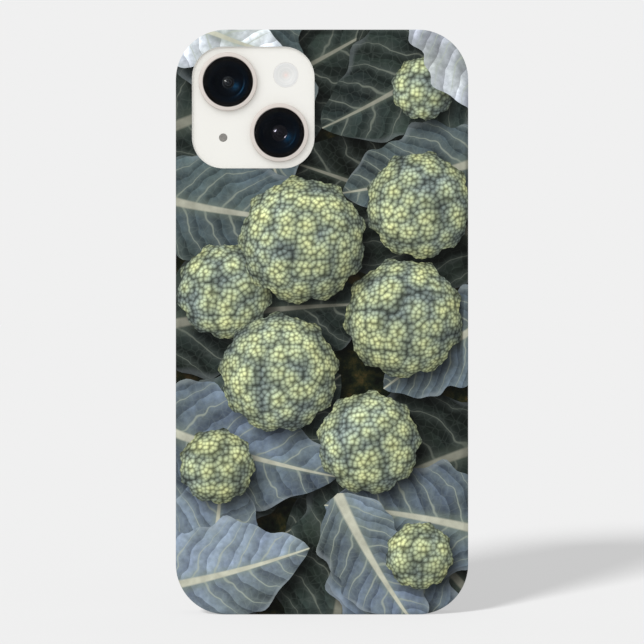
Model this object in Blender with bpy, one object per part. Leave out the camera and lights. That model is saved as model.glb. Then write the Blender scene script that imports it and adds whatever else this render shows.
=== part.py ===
"""A smartphone in a printed hard case, standing upright on its lower edge.

The script works in metres. The printed back faces -Y, the screen faces +Y, and +Z runs up the
phone's length. +X is on the right for someone who looks at the printed back. The origin lies on
the floor, under the middle of the whole assembly's box.

Three measures are used throughout:
depth, from the outer face of the phone's back glass, positive towards the screen;
inset, inwards from the case's outline, the same all round;
side, inwards from the phone's own long side face, used by the keys.
"""

import math
from collections import namedtuple

import bmesh
import bpy
from mathutils import Vector

# Case outline and section
CASE_WIDTH = 0.0752
CASE_HEIGHT = 0.1504
CASE_CORNER = 0.0129
CASE_WALL = 0.00155
CASE_FLOOR = -0.0003
CASE_BACK = -0.0018
CASE_EDGE = 0.0009
LIP_INSET = 0.0028
LIP_UNDERSIDE = 0.0081
LIP_FACE = 0.0087
LIP_ROUND = 0.0007

# Phone body
FIT_GAP = 0.0003
PHONE_INSET = CASE_WALL + FIT_GAP
PHONE_DEPTH = 0.0078
FRAME_BACK = 0.0003
FRAME_FRONT = PHONE_DEPTH - FRAME_BACK
FRAME_CHAMFER = 0.00025
FRAME_RIM = 0.00045
FRAME_WALL = 0.0022
BACK_SHELF = 0.00095
FRONT_SHELF = 0.00635
GLASS_INSET = PHONE_INSET + FRAME_RIM + FIT_GAP
GLASS_THICKNESS = 0.00065
GLASS_ROUND = 0.0002
INNER_INSET = PHONE_INSET + FRAME_WALL + FIT_GAP

# Camera corner
WINDOW_WIDTH = 0.0315
WINDOW_HEIGHT = 0.0313
WINDOW_CORNER = 0.0080
WINDOW_CENTRE = (-0.01766, 0.1303)
WINDOW_FLARE = 0.0003
PLATEAU_GAP = 0.00045
PLATEAU_FACE = -0.0011
PLATEAU_EDGE = ((0.00055, 0.0), (0.00020, 0.00010), (0.0, 0.00035))
LENS_FACE = -0.0024
LENS_CENTRES = {"upper": (-0.02415, 0.1369), "lower": (-0.01097, 0.12383)}
LENS_RING_RADIUS = 0.0075
LENS_MOUTH_RADIUS = 0.0065
LENS_HUB_RADIUS = 0.00675
LENS_BORE_RADIUS = 0.0056
LENS_SHOULDER = -0.0016
LENS_HUB_END = 0.0009
ELEMENT_BORE_RADIUS = 0.0026
CAMERA_SIDE = 0.0128
FLASH_CENTRE = (-0.0093, 0.1387)
FLASH_RADIUS = 0.0032
MICROPHONE_CENTRE = (-0.0254, 0.1226)
MICROPHONE_RADIUS = 0.0010

# Keys and switch on the long sides, heights measured down from the phone's top edge
KEY_WIDTH = 0.0024
KEY_PROUD = 0.00035
KEY_SOFT_EDGE = 0.00015
KEY_FLANGE = 0.0005
KEY_FLANGE_START = 0.0025
KEY_FLANGE_END = 0.0031
KEY_TRAVEL = 0.0003
KEY_CORNER = 0.0009
SIDE_KEY_DROP = 0.0520
SIDE_KEY_LENGTH = 0.0170
VOLUME_KEY_DROPS = {"volume_up_button": 0.0465, "volume_down_button": 0.0595}
VOLUME_KEY_LENGTH = 0.0100
SWITCH_DROP = 0.0320
SWITCH_LENGTH = 0.0050
SWITCH_WIDTH = 0.0020
SWITCH_TRAVEL = 0.0012
KEY_WINDOW_WIDTH = 0.0052
KEY_WINDOW_MARGIN = 0.0025
SWITCH_WINDOW_MARGIN = 0.00225
BRACKET_THICKNESS = 0.0008
BRACKET_WIDTH = 0.0030
BRACKET_RELIEF = 0.0048

# Lower edge
PORT_LENGTH = 0.0090
PORT_WIDTH = 0.0032
PORT_WALL = 0.0003
PORT_DEPTH = 0.0068
PORT_WINDOW = (0.0126, 0.0054)
SOUND_WINDOW = (0.0106, 0.0026)
SOUND_HOLE_START = 0.0132
SOUND_HOLE_PITCH = 0.0022
SOUND_HOLE_COUNT = 5
SOUND_HOLE_RADIUS = 0.00055
SCREW_X = 0.0078
SCREW_RADIUS = 0.00075
SCREW_RECESS_RADIUS = 0.0004

# Plastic inserts across the metal band, heights measured down from the phone's top edge
ANTENNA_DROPS = (0.0185, 0.1282)
ANTENNA_WIDTH = 0.0013
ANTENNA_NOTCH = 0.00075

# Layers inside
INNER_BACK = 0.00165
INNER_FRONT = 0.0047
MIDPLATE = (0.0050, 0.00565)
DISPLAY = (0.00595, 0.00685)
BOARD_FACES = (0.0026, 0.0035)
BOARD_HEAD_FACES = (0.00265, 0.00345)
SHIELD_CAN_FACE = 0.0030
SHIELD_CANS = (
    (0.0120, 0.0290, 0.0500, 0.0720),
    (0.0120, 0.0290, 0.0760, 0.1060),
    (0.0020, 0.0270, 0.1190, 0.1390),
)
COIL_RADII = (0.0105, 0.0215)
MAGNET_RADII = (0.0235, 0.0270)
EARPIECE_DROP = 0.0018
EARPIECE_SLOT = (0.0126, 0.0012)
EARPIECE_MESH = (0.0120, 0.0006)

# Values worked out from those above
MID_DEPTH = (LENS_FACE + LIP_FACE) / 2
MID_HEIGHT = CASE_HEIGHT / 2
PHONE_SIDE = CASE_WIDTH / 2 - PHONE_INSET
PHONE_TOP = CASE_HEIGHT - PHONE_INSET
PHONE_FOOT = PHONE_INSET
PHONE_CORE = PHONE_DEPTH / 2
GLASS_FRONT = PHONE_DEPTH - GLASS_THICKNESS
SOUND_MIDDLE = SOUND_HOLE_START + SOUND_HOLE_PITCH * (SOUND_HOLE_COUNT - 1) / 2
PAST = 0.0010

CORNER_STEPS = 10
SMALL_CORNER_STEPS = 4
TURNED_STEPS = 40
FINE_STEPS = 20
SHARP_ANGLE = math.radians(32)

Panel = namedtuple("Panel", "axis width height corner u v steps")
Finish = namedtuple("Finish", "name colour roughness metallic")

PRINT = Finish("printed_plastic", (0.17, 0.21, 0.20), 0.38, 0.0)
WHITE_GLASS = Finish("white_glass", (0.86, 0.85, 0.82), 0.16, 0.0)
BLACK_GLASS = Finish("black_glass", (0.006, 0.006, 0.008), 0.05, 0.0)
LENS_GLASS = Finish("lens_glass", (0.004, 0.005, 0.008), 0.03, 0.0)
ALUMINIUM = Finish("anodised_aluminium", (0.72, 0.70, 0.67), 0.32, 1.0)
STEEL = Finish("steel", (0.55, 0.54, 0.52), 0.30, 1.0)
BLACK_PLASTIC = Finish("black_plastic", (0.02, 0.02, 0.02), 0.50, 0.0)
PALE_PLASTIC = Finish("pale_plastic", (0.74, 0.73, 0.69), 0.45, 0.0)
CLEAR_PLASTIC = Finish("diffuser_plastic", (0.85, 0.85, 0.82), 0.20, 0.0)
YELLOW_RESIN = Finish("yellow_resin", (0.80, 0.58, 0.10), 0.45, 0.0)
COPPER = Finish("copper", (0.72, 0.36, 0.20), 0.30, 1.0)
MAGNET = Finish("nickel_plated_magnet", (0.50, 0.49, 0.46), 0.35, 1.0)
BOARD = Finish("circuit_board", (0.02, 0.06, 0.05), 0.50, 0.0)
FOIL = Finish("battery_foil", (0.05, 0.05, 0.055), 0.45, 0.0)


def clear_scene():
    """Empties the scene that the script is run in."""
    for old in list(bpy.data.objects):
        bpy.data.objects.remove(old, do_unlink=True)


def material_of(finish):
    """Gives the finish's material, made the first time it is asked for."""
    known = bpy.data.materials.get(finish.name)
    if known:
        return known
    material = bpy.data.materials.new(finish.name)
    material.use_nodes = True
    shader = material.node_tree.nodes["Principled BSDF"]
    shader.inputs["Base Color"].default_value = (*finish.colour, 1.0)
    shader.inputs["Roughness"].default_value = finish.roughness
    shader.inputs["Metallic"].default_value = finish.metallic
    return material


def point_at(axis, u, v, level):
    """Turns a section's own coordinates into a point of the scene."""
    if axis == "Y":
        return Vector((u, level - MID_DEPTH, v))
    if axis == "X":
        return Vector((level, u - MID_DEPTH, v))
    return Vector((u, v - MID_DEPTH, level))


def rounded(panel, inset, level):
    """Gives the points of a rounded rectangle, shrunk by inset, at one level along its axis."""
    half_u = panel.width / 2 - inset
    half_v = panel.height / 2 - inset
    corner = panel.corner - inset
    points = []
    for quarter, (sign_u, sign_v) in enumerate(((1, 1), (-1, 1), (-1, -1), (1, -1))):
        for step in range(panel.steps + 1):
            turn = math.radians(90) * (quarter + step / panel.steps)
            u = panel.u + sign_u * (half_u - corner) + corner * math.cos(turn)
            v = panel.v + sign_v * (half_v - corner) + corner * math.sin(turn)
            points.append(point_at(panel.axis, u, v, level))
    return points


def circle(axis, centre, radius, level, steps):
    """Gives the points of a circle at one level along its axis."""
    turns = [math.tau * step / steps for step in range(steps)]
    u, v = centre
    return [point_at(axis, u + radius * math.cos(a), v + radius * math.sin(a), level) for a in turns]


def loft(name, sections, finish, closed=False):
    """Makes a closed solid through equal sections.

    The first and last section get a face each, or are joined to each other if closed is true.
    The object's origin is the middle of the first section.
    """
    origin = sum(sections[0], Vector()) / len(sections[0])
    shape = bmesh.new()
    loops = [[shape.verts.new(point - origin) for point in section] for section in sections]
    pairs = list(zip(loops, loops[1:]))
    if closed:
        pairs.append((loops[-1], loops[0]))
    else:
        shape.faces.new(loops[0])
        shape.faces.new(loops[-1])
    for first, second in pairs:
        for here, point in enumerate(first):
            after = (here + 1) % len(first)
            shape.faces.new((point, first[after], second[after], second[here]))
    bmesh.ops.recalc_face_normals(shape, faces=shape.faces)
    mesh = bpy.data.meshes.new(name)
    shape.to_mesh(mesh)
    shape.free()
    mesh.shade_smooth()
    mesh.set_sharp_from_angle(angle=SHARP_ANGLE)
    mesh.materials.append(material_of(finish))
    piece = bpy.data.objects.new(name, mesh)
    piece.location = origin
    bpy.context.collection.objects.link(piece)
    return piece


def slab(name, panel, start, end, finish, edge=0.0):
    """Makes a rounded block between two levels, its rims bevelled by edge."""
    sections = [rounded(panel, 0.0, start), rounded(panel, 0.0, end)]
    if edge:
        way = math.copysign(edge, end - start)
        sections = [rounded(panel, edge, start), rounded(panel, 0.0, start + way),
                    rounded(panel, 0.0, end - way), rounded(panel, edge, end)]
    return loft(name, sections, finish)


def turned(name, axis, centre, profile, finish, closed=False, steps=TURNED_STEPS):
    """Makes a turned solid from (radius, level) pairs."""
    sections = [circle(axis, centre, radius, level, steps) for radius, level in profile]
    return loft(name, sections, finish, closed)


def combine(piece, tool, operation):
    """Cuts the tool from the piece, or joins it on, and hides the tool."""
    tool.hide_render = True
    tool.display_type = "WIRE"
    boolean = piece.modifiers.new(tool.name, "BOOLEAN")
    boolean.operation = operation
    boolean.solver = "EXACT"
    boolean.object = tool


def cut(piece, *tools):
    """Takes each tool's shape out of the piece."""
    for tool in tools:
        combine(piece, tool, "DIFFERENCE")


def join(piece, *tools):
    """Fuses each tool's shape with the piece."""
    for tool in tools:
        combine(piece, tool, "UNION")


def flat_panel(width, height, corner, centre, steps=SMALL_CORNER_STEPS):
    """Gives a rounded rectangle that lies parallel to the screen."""
    return Panel("Y", width, height, corner, centre[0], centre[1], steps)


def spanning(left, right, foot, top, corner=0.0008):
    """Gives a rounded rectangle parallel to the screen from its four edges."""
    middle = ((left + right) / 2, (foot + top) / 2)
    return flat_panel(right - left, top - foot, corner, middle)


OUTLINE = flat_panel(CASE_WIDTH, CASE_HEIGHT, CASE_CORNER, (0.0, MID_HEIGHT), CORNER_STEPS)


def side_panel(width, length, drop, corner, depth=PHONE_CORE):
    """Gives a rounded rectangle on a long side, its middle at a drop below the phone's top."""
    return Panel("X", width, length, corner, depth, PHONE_TOP - drop, SMALL_CORNER_STEPS)


def foot_panel(length, width, x, corner):
    """Gives a rounded rectangle on the lower edge."""
    return Panel("Z", length, width, corner, x, PHONE_CORE, SMALL_CORNER_STEPS)


def stadium(width, share=0.49):
    """Gives the corner radius that rounds the ends of a slot of this width."""
    return width * share


def at_side(sign, side):
    """Gives the X of a point that lies inwards from the phone's side face."""
    return sign * (PHONE_SIDE - side)


def case_shell():
    """Builds the case as one cup with a lip, its camera window and its openings for keys and port."""
    edge_steps = 4
    edge_arc = []
    for step in range(edge_steps + 1):
        turn = math.radians(90) * step / edge_steps
        inset = CASE_EDGE * (1 - math.cos(turn))
        edge_arc.append((inset, CASE_BACK + CASE_EDGE * (1 - math.sin(turn))))
    profile = [
        (CASE_WALL, CASE_FLOOR),
        (CASE_WALL, LIP_UNDERSIDE),
        (LIP_INSET, LIP_UNDERSIDE),
        (LIP_INSET, LIP_FACE - LIP_ROUND / 2),
        (LIP_INSET - LIP_ROUND / 2, LIP_FACE),
        (LIP_ROUND, LIP_FACE),
        (LIP_ROUND * 0.3, LIP_FACE - LIP_ROUND * 0.3),
        (0.0, LIP_FACE - LIP_ROUND),
        *edge_arc,
    ]
    shell = loft("case_shell", [rounded(OUTLINE, *place) for place in profile], PRINT)
    window = flat_panel(WINDOW_WIDTH, WINDOW_HEIGHT, WINDOW_CORNER, WINDOW_CENTRE, CORNER_STEPS)
    flare = [(-WINDOW_FLARE - PAST, CASE_BACK - PAST), (0.0, CASE_BACK + WINDOW_FLARE), (0.0, PAST)]
    cut(shell, loft("camera_window", [rounded(window, *place) for place in flare], PRINT))
    volume_drops = list(VOLUME_KEY_DROPS.values())
    volume_drop = sum(volume_drops) / len(volume_drops)
    volume_length = max(volume_drops) - min(volume_drops) + VOLUME_KEY_LENGTH
    cut(
        shell,
        key_window("side_key_window", -1, SIDE_KEY_DROP, SIDE_KEY_LENGTH + 2 * KEY_WINDOW_MARGIN),
        key_window("volume_key_window", 1, volume_drop, volume_length + 2 * KEY_WINDOW_MARGIN),
        key_window("ring_switch_window", 1, SWITCH_DROP, SWITCH_LENGTH + 2 * SWITCH_WINDOW_MARGIN),
        foot_window("port_window", PORT_WINDOW, 0.0),
        foot_window("sound_window_left", SOUND_WINDOW, -SOUND_MIDDLE),
        foot_window("sound_window_right", SOUND_WINDOW, SOUND_MIDDLE),
    )


def key_window(name, sign, drop, length):
    """Builds the cutter of an opening in the case's long side."""
    panel = side_panel(KEY_WINDOW_WIDTH, length, drop, stadium(KEY_WINDOW_WIDTH))
    return slab(name, panel, at_side(sign, FIT_GAP), at_side(sign, -PHONE_INSET - PAST), PRINT)


def foot_window(name, size, x):
    """Builds the cutter of an opening in the case's lower edge."""
    length, width = size
    return slab(name, foot_panel(length, width, x, stadium(width)), -PAST, PHONE_FOOT, PRINT)


def frame():
    """Builds the metal band of the phone with its rebates for both glasses and all its holes."""
    rim = PHONE_INSET + FRAME_RIM
    wall = PHONE_INSET + FRAME_WALL
    profile = [
        (PHONE_INSET, FRAME_BACK + FRAME_CHAMFER),
        (PHONE_INSET + FRAME_CHAMFER, FRAME_BACK),
        (rim, FRAME_BACK),
        (rim, BACK_SHELF),
        (wall, BACK_SHELF),
        (wall, FRONT_SHELF),
        (rim, FRONT_SHELF),
        (rim, FRAME_FRONT),
        (PHONE_INSET + FRAME_CHAMFER, FRAME_FRONT),
        (PHONE_INSET, FRAME_FRONT - FRAME_CHAMFER),
    ]
    band = loft("frame", [rounded(OUTLINE, *place) for place in profile], ALUMINIUM, closed=True)
    slot_width = KEY_WIDTH + 2 * FIT_GAP
    cut(band, key_slot("side_key_slot", -1, SIDE_KEY_DROP, SIDE_KEY_LENGTH + 2 * FIT_GAP, slot_width))
    for name, drop in VOLUME_KEY_DROPS.items():
        cut(band, key_slot(name + "_slot", 1, drop, VOLUME_KEY_LENGTH + 2 * FIT_GAP, slot_width))
    switch_slot_width = SWITCH_WIDTH + SWITCH_TRAVEL + 2 * FIT_GAP
    switch_slot_length = SWITCH_LENGTH + 2 * FIT_GAP
    cut(band, key_slot("switch_slot", 1, SWITCH_DROP, switch_slot_length, switch_slot_width))
    port_width = PORT_WIDTH + 2 * FIT_GAP
    port = foot_panel(PORT_LENGTH + 2 * FIT_GAP, port_width, 0.0, stadium(port_width))
    through = (PHONE_FOOT - PAST, PHONE_FOOT + FRAME_WALL + PAST)
    cut(band, slab("port_slot", port, *through, STEEL))
    for sign in (-1, 1):
        screw_place = (sign * SCREW_X, PHONE_CORE)
        hole = [(SCREW_RADIUS + FIT_GAP, level) for level in through]
        cut(band, turned(f"screw_hole_{sign}", "Z", screw_place, hole, STEEL, steps=FINE_STEPS))
        for index in range(SOUND_HOLE_COUNT):
            place = (sign * (SOUND_HOLE_START + SOUND_HOLE_PITCH * index), PHONE_CORE)
            hole = [(SOUND_HOLE_RADIUS, level) for level in through]
            cut(band, turned(f"sound_hole_{sign}_{index}", "Z", place, hole, STEEL, steps=12))
    antenna_bands(band)


def key_slot(name, sign, drop, length, width):
    """Builds the cutter of a key's way through the band."""
    panel = side_panel(width, length, drop, KEY_CORNER + FIT_GAP)
    return slab(name, panel, at_side(sign, -PAST), at_side(sign, FRAME_WALL + PAST), STEEL)


def antenna_bands(band):
    """Builds four plastic inserts across the band's long sides, and the notches that hold them."""
    height = FRAME_FRONT - FRAME_BACK
    places = [(sign, drop) for drop in ANTENNA_DROPS for sign in (-1, 1)]
    for number, (sign, drop) in enumerate(places, start=1):
        opening = side_panel(height + 2 * PAST, ANTENNA_WIDTH + 2 * FIT_GAP, drop, 0.0001)
        floor = at_side(sign, ANTENNA_NOTCH)
        cut(band, slab(f"antenna_notch_{number}", opening, at_side(sign, -PAST), floor, STEEL))
        insert = side_panel(height, ANTENNA_WIDTH, drop, 0.0001)
        back = at_side(sign, ANTENNA_NOTCH - FIT_GAP)
        slab(f"antenna_band_{number}", insert, at_side(sign, 0.0), back, PALE_PLASTIC)


def back_glass():
    """Builds the back glass and its raised camera plateau as one sheet, with holes for what it carries."""
    profile = [
        (GLASS_INSET + GLASS_ROUND, 0.0),
        (GLASS_INSET, GLASS_ROUND),
        (GLASS_INSET, GLASS_THICKNESS),
    ]
    sheet = loft("back_glass", [rounded(OUTLINE, *place) for place in profile], WHITE_GLASS)
    panel = flat_panel(
        WINDOW_WIDTH - 2 * PLATEAU_GAP,
        WINDOW_HEIGHT - 2 * PLATEAU_GAP,
        WINDOW_CORNER - PLATEAU_GAP,
        WINDOW_CENTRE,
        CORNER_STEPS,
    )
    rise = [(inset, PLATEAU_FACE + drop) for inset, drop in PLATEAU_EDGE]
    rise.append((0.0, GLASS_THICKNESS / 2))
    join(sheet, loft("camera_plateau", [rounded(panel, *place) for place in rise], WHITE_GLASS))
    through = (PLATEAU_FACE - PAST, GLASS_THICKNESS + PAST)
    for name, centre in LENS_CENTRES.items():
        hole = [(LENS_HUB_RADIUS + FIT_GAP, level) for level in through]
        cut(sheet, turned(f"lens_hole_{name}", "Y", centre, hole, WHITE_GLASS))
    for name, centre, radius in (
        ("flash_hole", FLASH_CENTRE, FLASH_RADIUS),
        ("microphone_hole", MICROPHONE_CENTRE, MICROPHONE_RADIUS),
    ):
        hole = [(radius + FIT_GAP, level) for level in through]
        cut(sheet, turned(name, "Y", centre, hole, WHITE_GLASS, steps=FINE_STEPS))


def cameras():
    """Builds both rear cameras: ring, cover glass, barrel, front element and module."""
    ring = [
        (LENS_RING_RADIUS, PLATEAU_FACE - FIT_GAP),
        (LENS_RING_RADIUS, LENS_FACE + 0.00028),
        (LENS_RING_RADIUS - 0.00008, LENS_FACE + 0.00010),
        (LENS_RING_RADIUS - 0.00025, LENS_FACE),
        (LENS_MOUTH_RADIUS + 0.00012, LENS_FACE),
        (LENS_MOUTH_RADIUS, LENS_FACE + 0.00012),
        (LENS_MOUTH_RADIUS, LENS_SHOULDER),
        (LENS_BORE_RADIUS, LENS_SHOULDER),
        (LENS_BORE_RADIUS, LENS_HUB_END),
        (LENS_HUB_RADIUS, LENS_HUB_END),
        (LENS_HUB_RADIUS, PLATEAU_FACE - FIT_GAP),
    ]
    cover_radius = LENS_MOUTH_RADIUS - FIT_GAP
    cover_face = LENS_FACE + 0.00018
    cover = [
        (cover_radius - 0.00008, cover_face),
        (cover_radius, cover_face + 0.00008),
        (cover_radius, LENS_SHOULDER - FIT_GAP),
    ]
    barrel_radius = LENS_BORE_RADIUS - FIT_GAP
    barrel_face = LENS_SHOULDER + FIT_GAP
    barrel = [
        (barrel_radius, LENS_HUB_END),
        (barrel_radius, barrel_face),
        (barrel_radius - 0.0004, barrel_face),
        (ELEMENT_BORE_RADIUS, -0.00075),
        (ELEMENT_BORE_RADIUS, 0.0004),
    ]
    element_radius = ELEMENT_BORE_RADIUS - FIT_GAP
    dome = [(element_radius, 0.0001)]
    dome_steps = 5
    for step in range(dome_steps):
        turn = math.radians(90) * step / dome_steps
        dome.append((element_radius * math.cos(turn), -0.00035 - 0.0005 * math.sin(turn)))
    for name, centre in LENS_CENTRES.items():
        turned(f"lens_ring_{name}", "Y", centre, ring, ALUMINIUM, closed=True)
        turned(f"lens_cover_{name}", "Y", centre, cover, LENS_GLASS)
        turned(f"lens_barrel_{name}", "Y", centre, barrel, BLACK_PLASTIC, steps=FINE_STEPS)
        turned(f"lens_element_{name}", "Y", centre, dome, LENS_GLASS, steps=FINE_STEPS)
        body = flat_panel(CAMERA_SIDE, CAMERA_SIDE, 0.0012, centre)
        slab(f"camera_module_{name}", body, LENS_HUB_END + FIT_GAP, INNER_FRONT, STEEL, edge=0.0003)


def flash_and_microphone():
    """Builds the flash's diffuser and light, and the mesh over the rear microphone."""
    diffuser = [
        (FLASH_RADIUS - 0.0003, PLATEAU_FACE - 0.00002),
        (FLASH_RADIUS, PLATEAU_FACE + 0.0001),
        (FLASH_RADIUS, 0.0002),
    ]
    turned("flash_lens", "Y", FLASH_CENTRE, diffuser, CLEAR_PLASTIC, steps=FINE_STEPS)
    light = flat_panel(0.0024, 0.0024, 0.0003, FLASH_CENTRE)
    slab("flash_light", light, 0.0005, 0.0012, YELLOW_RESIN)
    mesh = [(MICROPHONE_RADIUS, PLATEAU_FACE + 0.00005), (MICROPHONE_RADIUS, -0.0003)]
    turned("rear_microphone_mesh", "Y", MICROPHONE_CENTRE, mesh, STEEL, steps=FINE_STEPS)


def front():
    """Builds the screen's glass, its display panel, the earpiece's mesh and the front camera."""
    profile = [
        (GLASS_INSET, GLASS_FRONT),
        (GLASS_INSET, PHONE_DEPTH - GLASS_ROUND),
        (GLASS_INSET + GLASS_ROUND, PHONE_DEPTH),
    ]
    glass = loft("front_glass", [rounded(OUTLINE, *place) for place in profile], BLACK_GLASS)
    slot_middle = (0.0, PHONE_TOP - EARPIECE_DROP)
    slot = flat_panel(*EARPIECE_SLOT, 0.00055, slot_middle)
    cut(glass, slab("earpiece_slot", slot, GLASS_FRONT - PAST, PHONE_DEPTH + PAST, BLACK_GLASS))
    mesh = flat_panel(*EARPIECE_MESH, 0.00025, slot_middle)
    slab("earpiece_mesh", mesh, FRONT_SHELF + FIT_GAP, PHONE_DEPTH - 0.00025, STEEL)
    display = loft("display_panel", [rounded(OUTLINE, INNER_INSET, depth) for depth in DISPLAY], BLACK_GLASS)
    cut(display, sensor_notch("display_notch"))
    sensors = spanning(-0.0110, 0.0110, 0.1411, 0.1456)
    slab("front_camera", sensors, MIDPLATE[0], DISPLAY[1], BLACK_PLASTIC, edge=0.0002)


def sensor_notch(name):
    """Builds the cutter of the room for the front camera at the top of the display."""
    notch = spanning(-0.0135, 0.0135, 0.1404, CASE_HEIGHT, corner=0.0020)
    return slab(name, notch, MIDPLATE[0] - PAST, DISPLAY[1] + PAST, STEEL)


def midplate():
    """Builds the plate behind the display, cut back round the keys, the port and the front camera."""
    plate = loft("midplate", [rounded(OUTLINE, INNER_INSET, depth) for depth in MIDPLATE], ALUMINIUM)
    cut(plate, sensor_notch("midplate_notch"))
    reach = (MIDPLATE[0] - PAST, MIDPLATE[1] + PAST)
    relief = PHONE_SIDE - BRACKET_RELIEF
    left = spanning(-CASE_WIDTH / 2, -relief, PHONE_TOP - 0.0640, PHONE_TOP - 0.0400)
    right = spanning(relief, CASE_WIDTH / 2, PHONE_TOP - 0.0670, PHONE_TOP - 0.0270)
    port_end = PHONE_FOOT + FIT_GAP + PORT_DEPTH + FIT_GAP
    foot = spanning(-PORT_LENGTH / 2 - FIT_GAP, PORT_LENGTH / 2 + FIT_GAP, 0.0, port_end)
    for name, panel in (("side_key_relief", left), ("volume_key_relief", right), ("port_relief", foot)):
        cut(plate, slab(name, panel, *reach, STEEL))


def keys():
    """Builds the three keys, the ring switch and the two brackets that carry their contacts.

    Each slides in its slot: the keys inwards along X, the switch along Y. A key's first section is
    its outer face, so its origin is on the line that it slides along.
    """
    key("side_button", -1, SIDE_KEY_DROP, SIDE_KEY_LENGTH)
    for name, drop in VOLUME_KEY_DROPS.items():
        key(name, 1, drop, VOLUME_KEY_LENGTH)
    ring_switch()
    bracket("side_key_bracket", -1, 0.0420, 0.0620)
    bracket("volume_key_bracket", 1, 0.0285, 0.0655)


def key(name, sign, drop, length):
    """Builds a key with the flange that keeps it in the band."""
    panel = side_panel(KEY_WIDTH, length, drop, KEY_CORNER)
    profile = [
        (KEY_SOFT_EDGE, -KEY_PROUD),
        (0.0, KEY_SOFT_EDGE - KEY_PROUD),
        (0.0, KEY_FLANGE_START),
        (-KEY_FLANGE, KEY_FLANGE_START),
        (-KEY_FLANGE, KEY_FLANGE_END),
    ]
    loft(name, [rounded(panel, inset, at_side(sign, side)) for inset, side in profile], ALUMINIUM)


def ring_switch():
    """Builds the ring switch in its ringing position, nearest to the screen."""
    depth = PHONE_CORE + SWITCH_TRAVEL / 2
    lever = side_panel(SWITCH_WIDTH, SWITCH_LENGTH, SWITCH_DROP, 0.0005, depth)
    flange = side_panel(SWITCH_WIDTH, SWITCH_LENGTH + 4 * KEY_FLANGE, SWITCH_DROP, 0.0005, depth)
    sections = [
        rounded(lever, KEY_SOFT_EDGE, at_side(1, -KEY_PROUD)),
        rounded(lever, 0.0, at_side(1, KEY_SOFT_EDGE - KEY_PROUD)),
        rounded(lever, 0.0, at_side(1, KEY_FLANGE_START)),
        rounded(flange, 0.0, at_side(1, KEY_FLANGE_START)),
        rounded(flange, 0.0, at_side(1, KEY_FLANGE_END)),
    ]
    loft("ring_switch", sections, ALUMINIUM)


def bracket(name, sign, top_drop, foot_drop):
    """Builds the strip behind the keys, one travel and a gap past their flanges."""
    panel = side_panel(BRACKET_WIDTH, foot_drop - top_drop, (top_drop + foot_drop) / 2, 0.0006)
    start = KEY_FLANGE_END + KEY_TRAVEL + FIT_GAP
    slab(name, panel, at_side(sign, start), at_side(sign, start + BRACKET_THICKNESS), STEEL)


def lower_edge():
    """Builds the charging port, the two case screws and the meshes behind the sound holes."""
    mouth = PHONE_FOOT + FIT_GAP
    end = mouth + PORT_DEPTH
    outer = foot_panel(PORT_LENGTH, PORT_WIDTH, 0.0, stadium(PORT_WIDTH))
    sections = [
        rounded(outer, PORT_WALL, end - PORT_WALL),
        rounded(outer, PORT_WALL, mouth),
        rounded(outer, 0.0, mouth),
        rounded(outer, 0.0, end),
    ]
    port = loft("charging_port", sections, STEEL)
    tongue = foot_panel(0.0066, 0.0007, 0.0, 0.0003)
    join(port, slab("port_tongue", tongue, mouth + 0.0010, end - PORT_WALL / 2, STEEL))
    inside = PHONE_FOOT + FRAME_WALL + FIT_GAP
    for name, sign in (("left", -1), ("right", 1)):
        screw_profile = [
            (SCREW_RADIUS - 0.0001, PHONE_FOOT + 0.00010),
            (SCREW_RADIUS, PHONE_FOOT + 0.00020),
            (SCREW_RADIUS, inside + 0.0004),
        ]
        place = (sign * SCREW_X, PHONE_CORE)
        screw = turned(f"bottom_screw_{name}", "Z", place, screw_profile, STEEL, steps=FINE_STEPS)
        recess = [(SCREW_RECESS_RADIUS, PHONE_FOOT - PAST), (SCREW_RECESS_RADIUS, PHONE_FOOT + 0.0005)]
        cut(screw, turned(f"screw_recess_{name}", "Z", place, recess, STEEL, steps=5))
        mesh = foot_panel(0.0106, 0.0018, sign * SOUND_MIDDLE, 0.0004)
        slab(f"sound_mesh_{name}", mesh, inside, inside + 0.0003, STEEL)


def battery_and_board():
    """Builds the battery and the logic board with its shield cans."""
    battery = spanning(-0.0305, 0.0085, 0.0265, 0.1120, corner=0.0015)
    slab("battery", battery, INNER_BACK, INNER_FRONT, FOIL, edge=0.0004)
    board = slab("logic_board", spanning(0.0100, 0.0305, 0.0460, 0.1430), *BOARD_FACES, BOARD)
    head = spanning(-0.0030, 0.0240, 0.1160, 0.1425)
    join(board, slab("board_head", head, *BOARD_HEAD_FACES, BOARD))
    for number, place in enumerate(SHIELD_CANS, start=1):
        join(board, slab(f"shield_can_{number}", spanning(*place), INNER_BACK, SHIELD_CAN_FACE, STEEL))


def coils_and_magnets():
    """Builds the charging coil and the ring and bar of magnets round it."""
    centre = (0.0, MID_HEIGHT)
    back = GLASS_THICKNESS + FIT_GAP
    front_face = INNER_BACK - FIT_GAP
    for name, radii, finish in (
        ("charging_coil", COIL_RADII, COPPER),
        ("magnet_ring", MAGNET_RADII, MAGNET),
    ):
        inner, outer = radii
        profile = [(outer, back), (outer, front_face), (inner, front_face), (inner, back)]
        turned(name, "Y", centre, profile, finish, closed=True)
    bar = spanning(-0.0032, 0.0032, MID_HEIGHT - 0.0430, MID_HEIGHT - 0.0300)
    slab("magnet_bar", bar, back, front_face, MAGNET)


def sound_and_haptics():
    """Builds the lower speaker, the earpiece and the haptic motor."""
    for name, place in (
        ("lower_speaker", (0.0065, 0.0305, 0.0085, 0.0235)),
        ("haptic_motor", (-0.0305, -0.0065, 0.0085, 0.0235)),
        ("earpiece_speaker", (-0.0080, 0.0080, 0.1434, 0.1459)),
    ):
        finish = STEEL if name == "haptic_motor" else BLACK_PLASTIC
        slab(name, spanning(*place), INNER_BACK, INNER_FRONT, finish, edge=0.0003)


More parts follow.
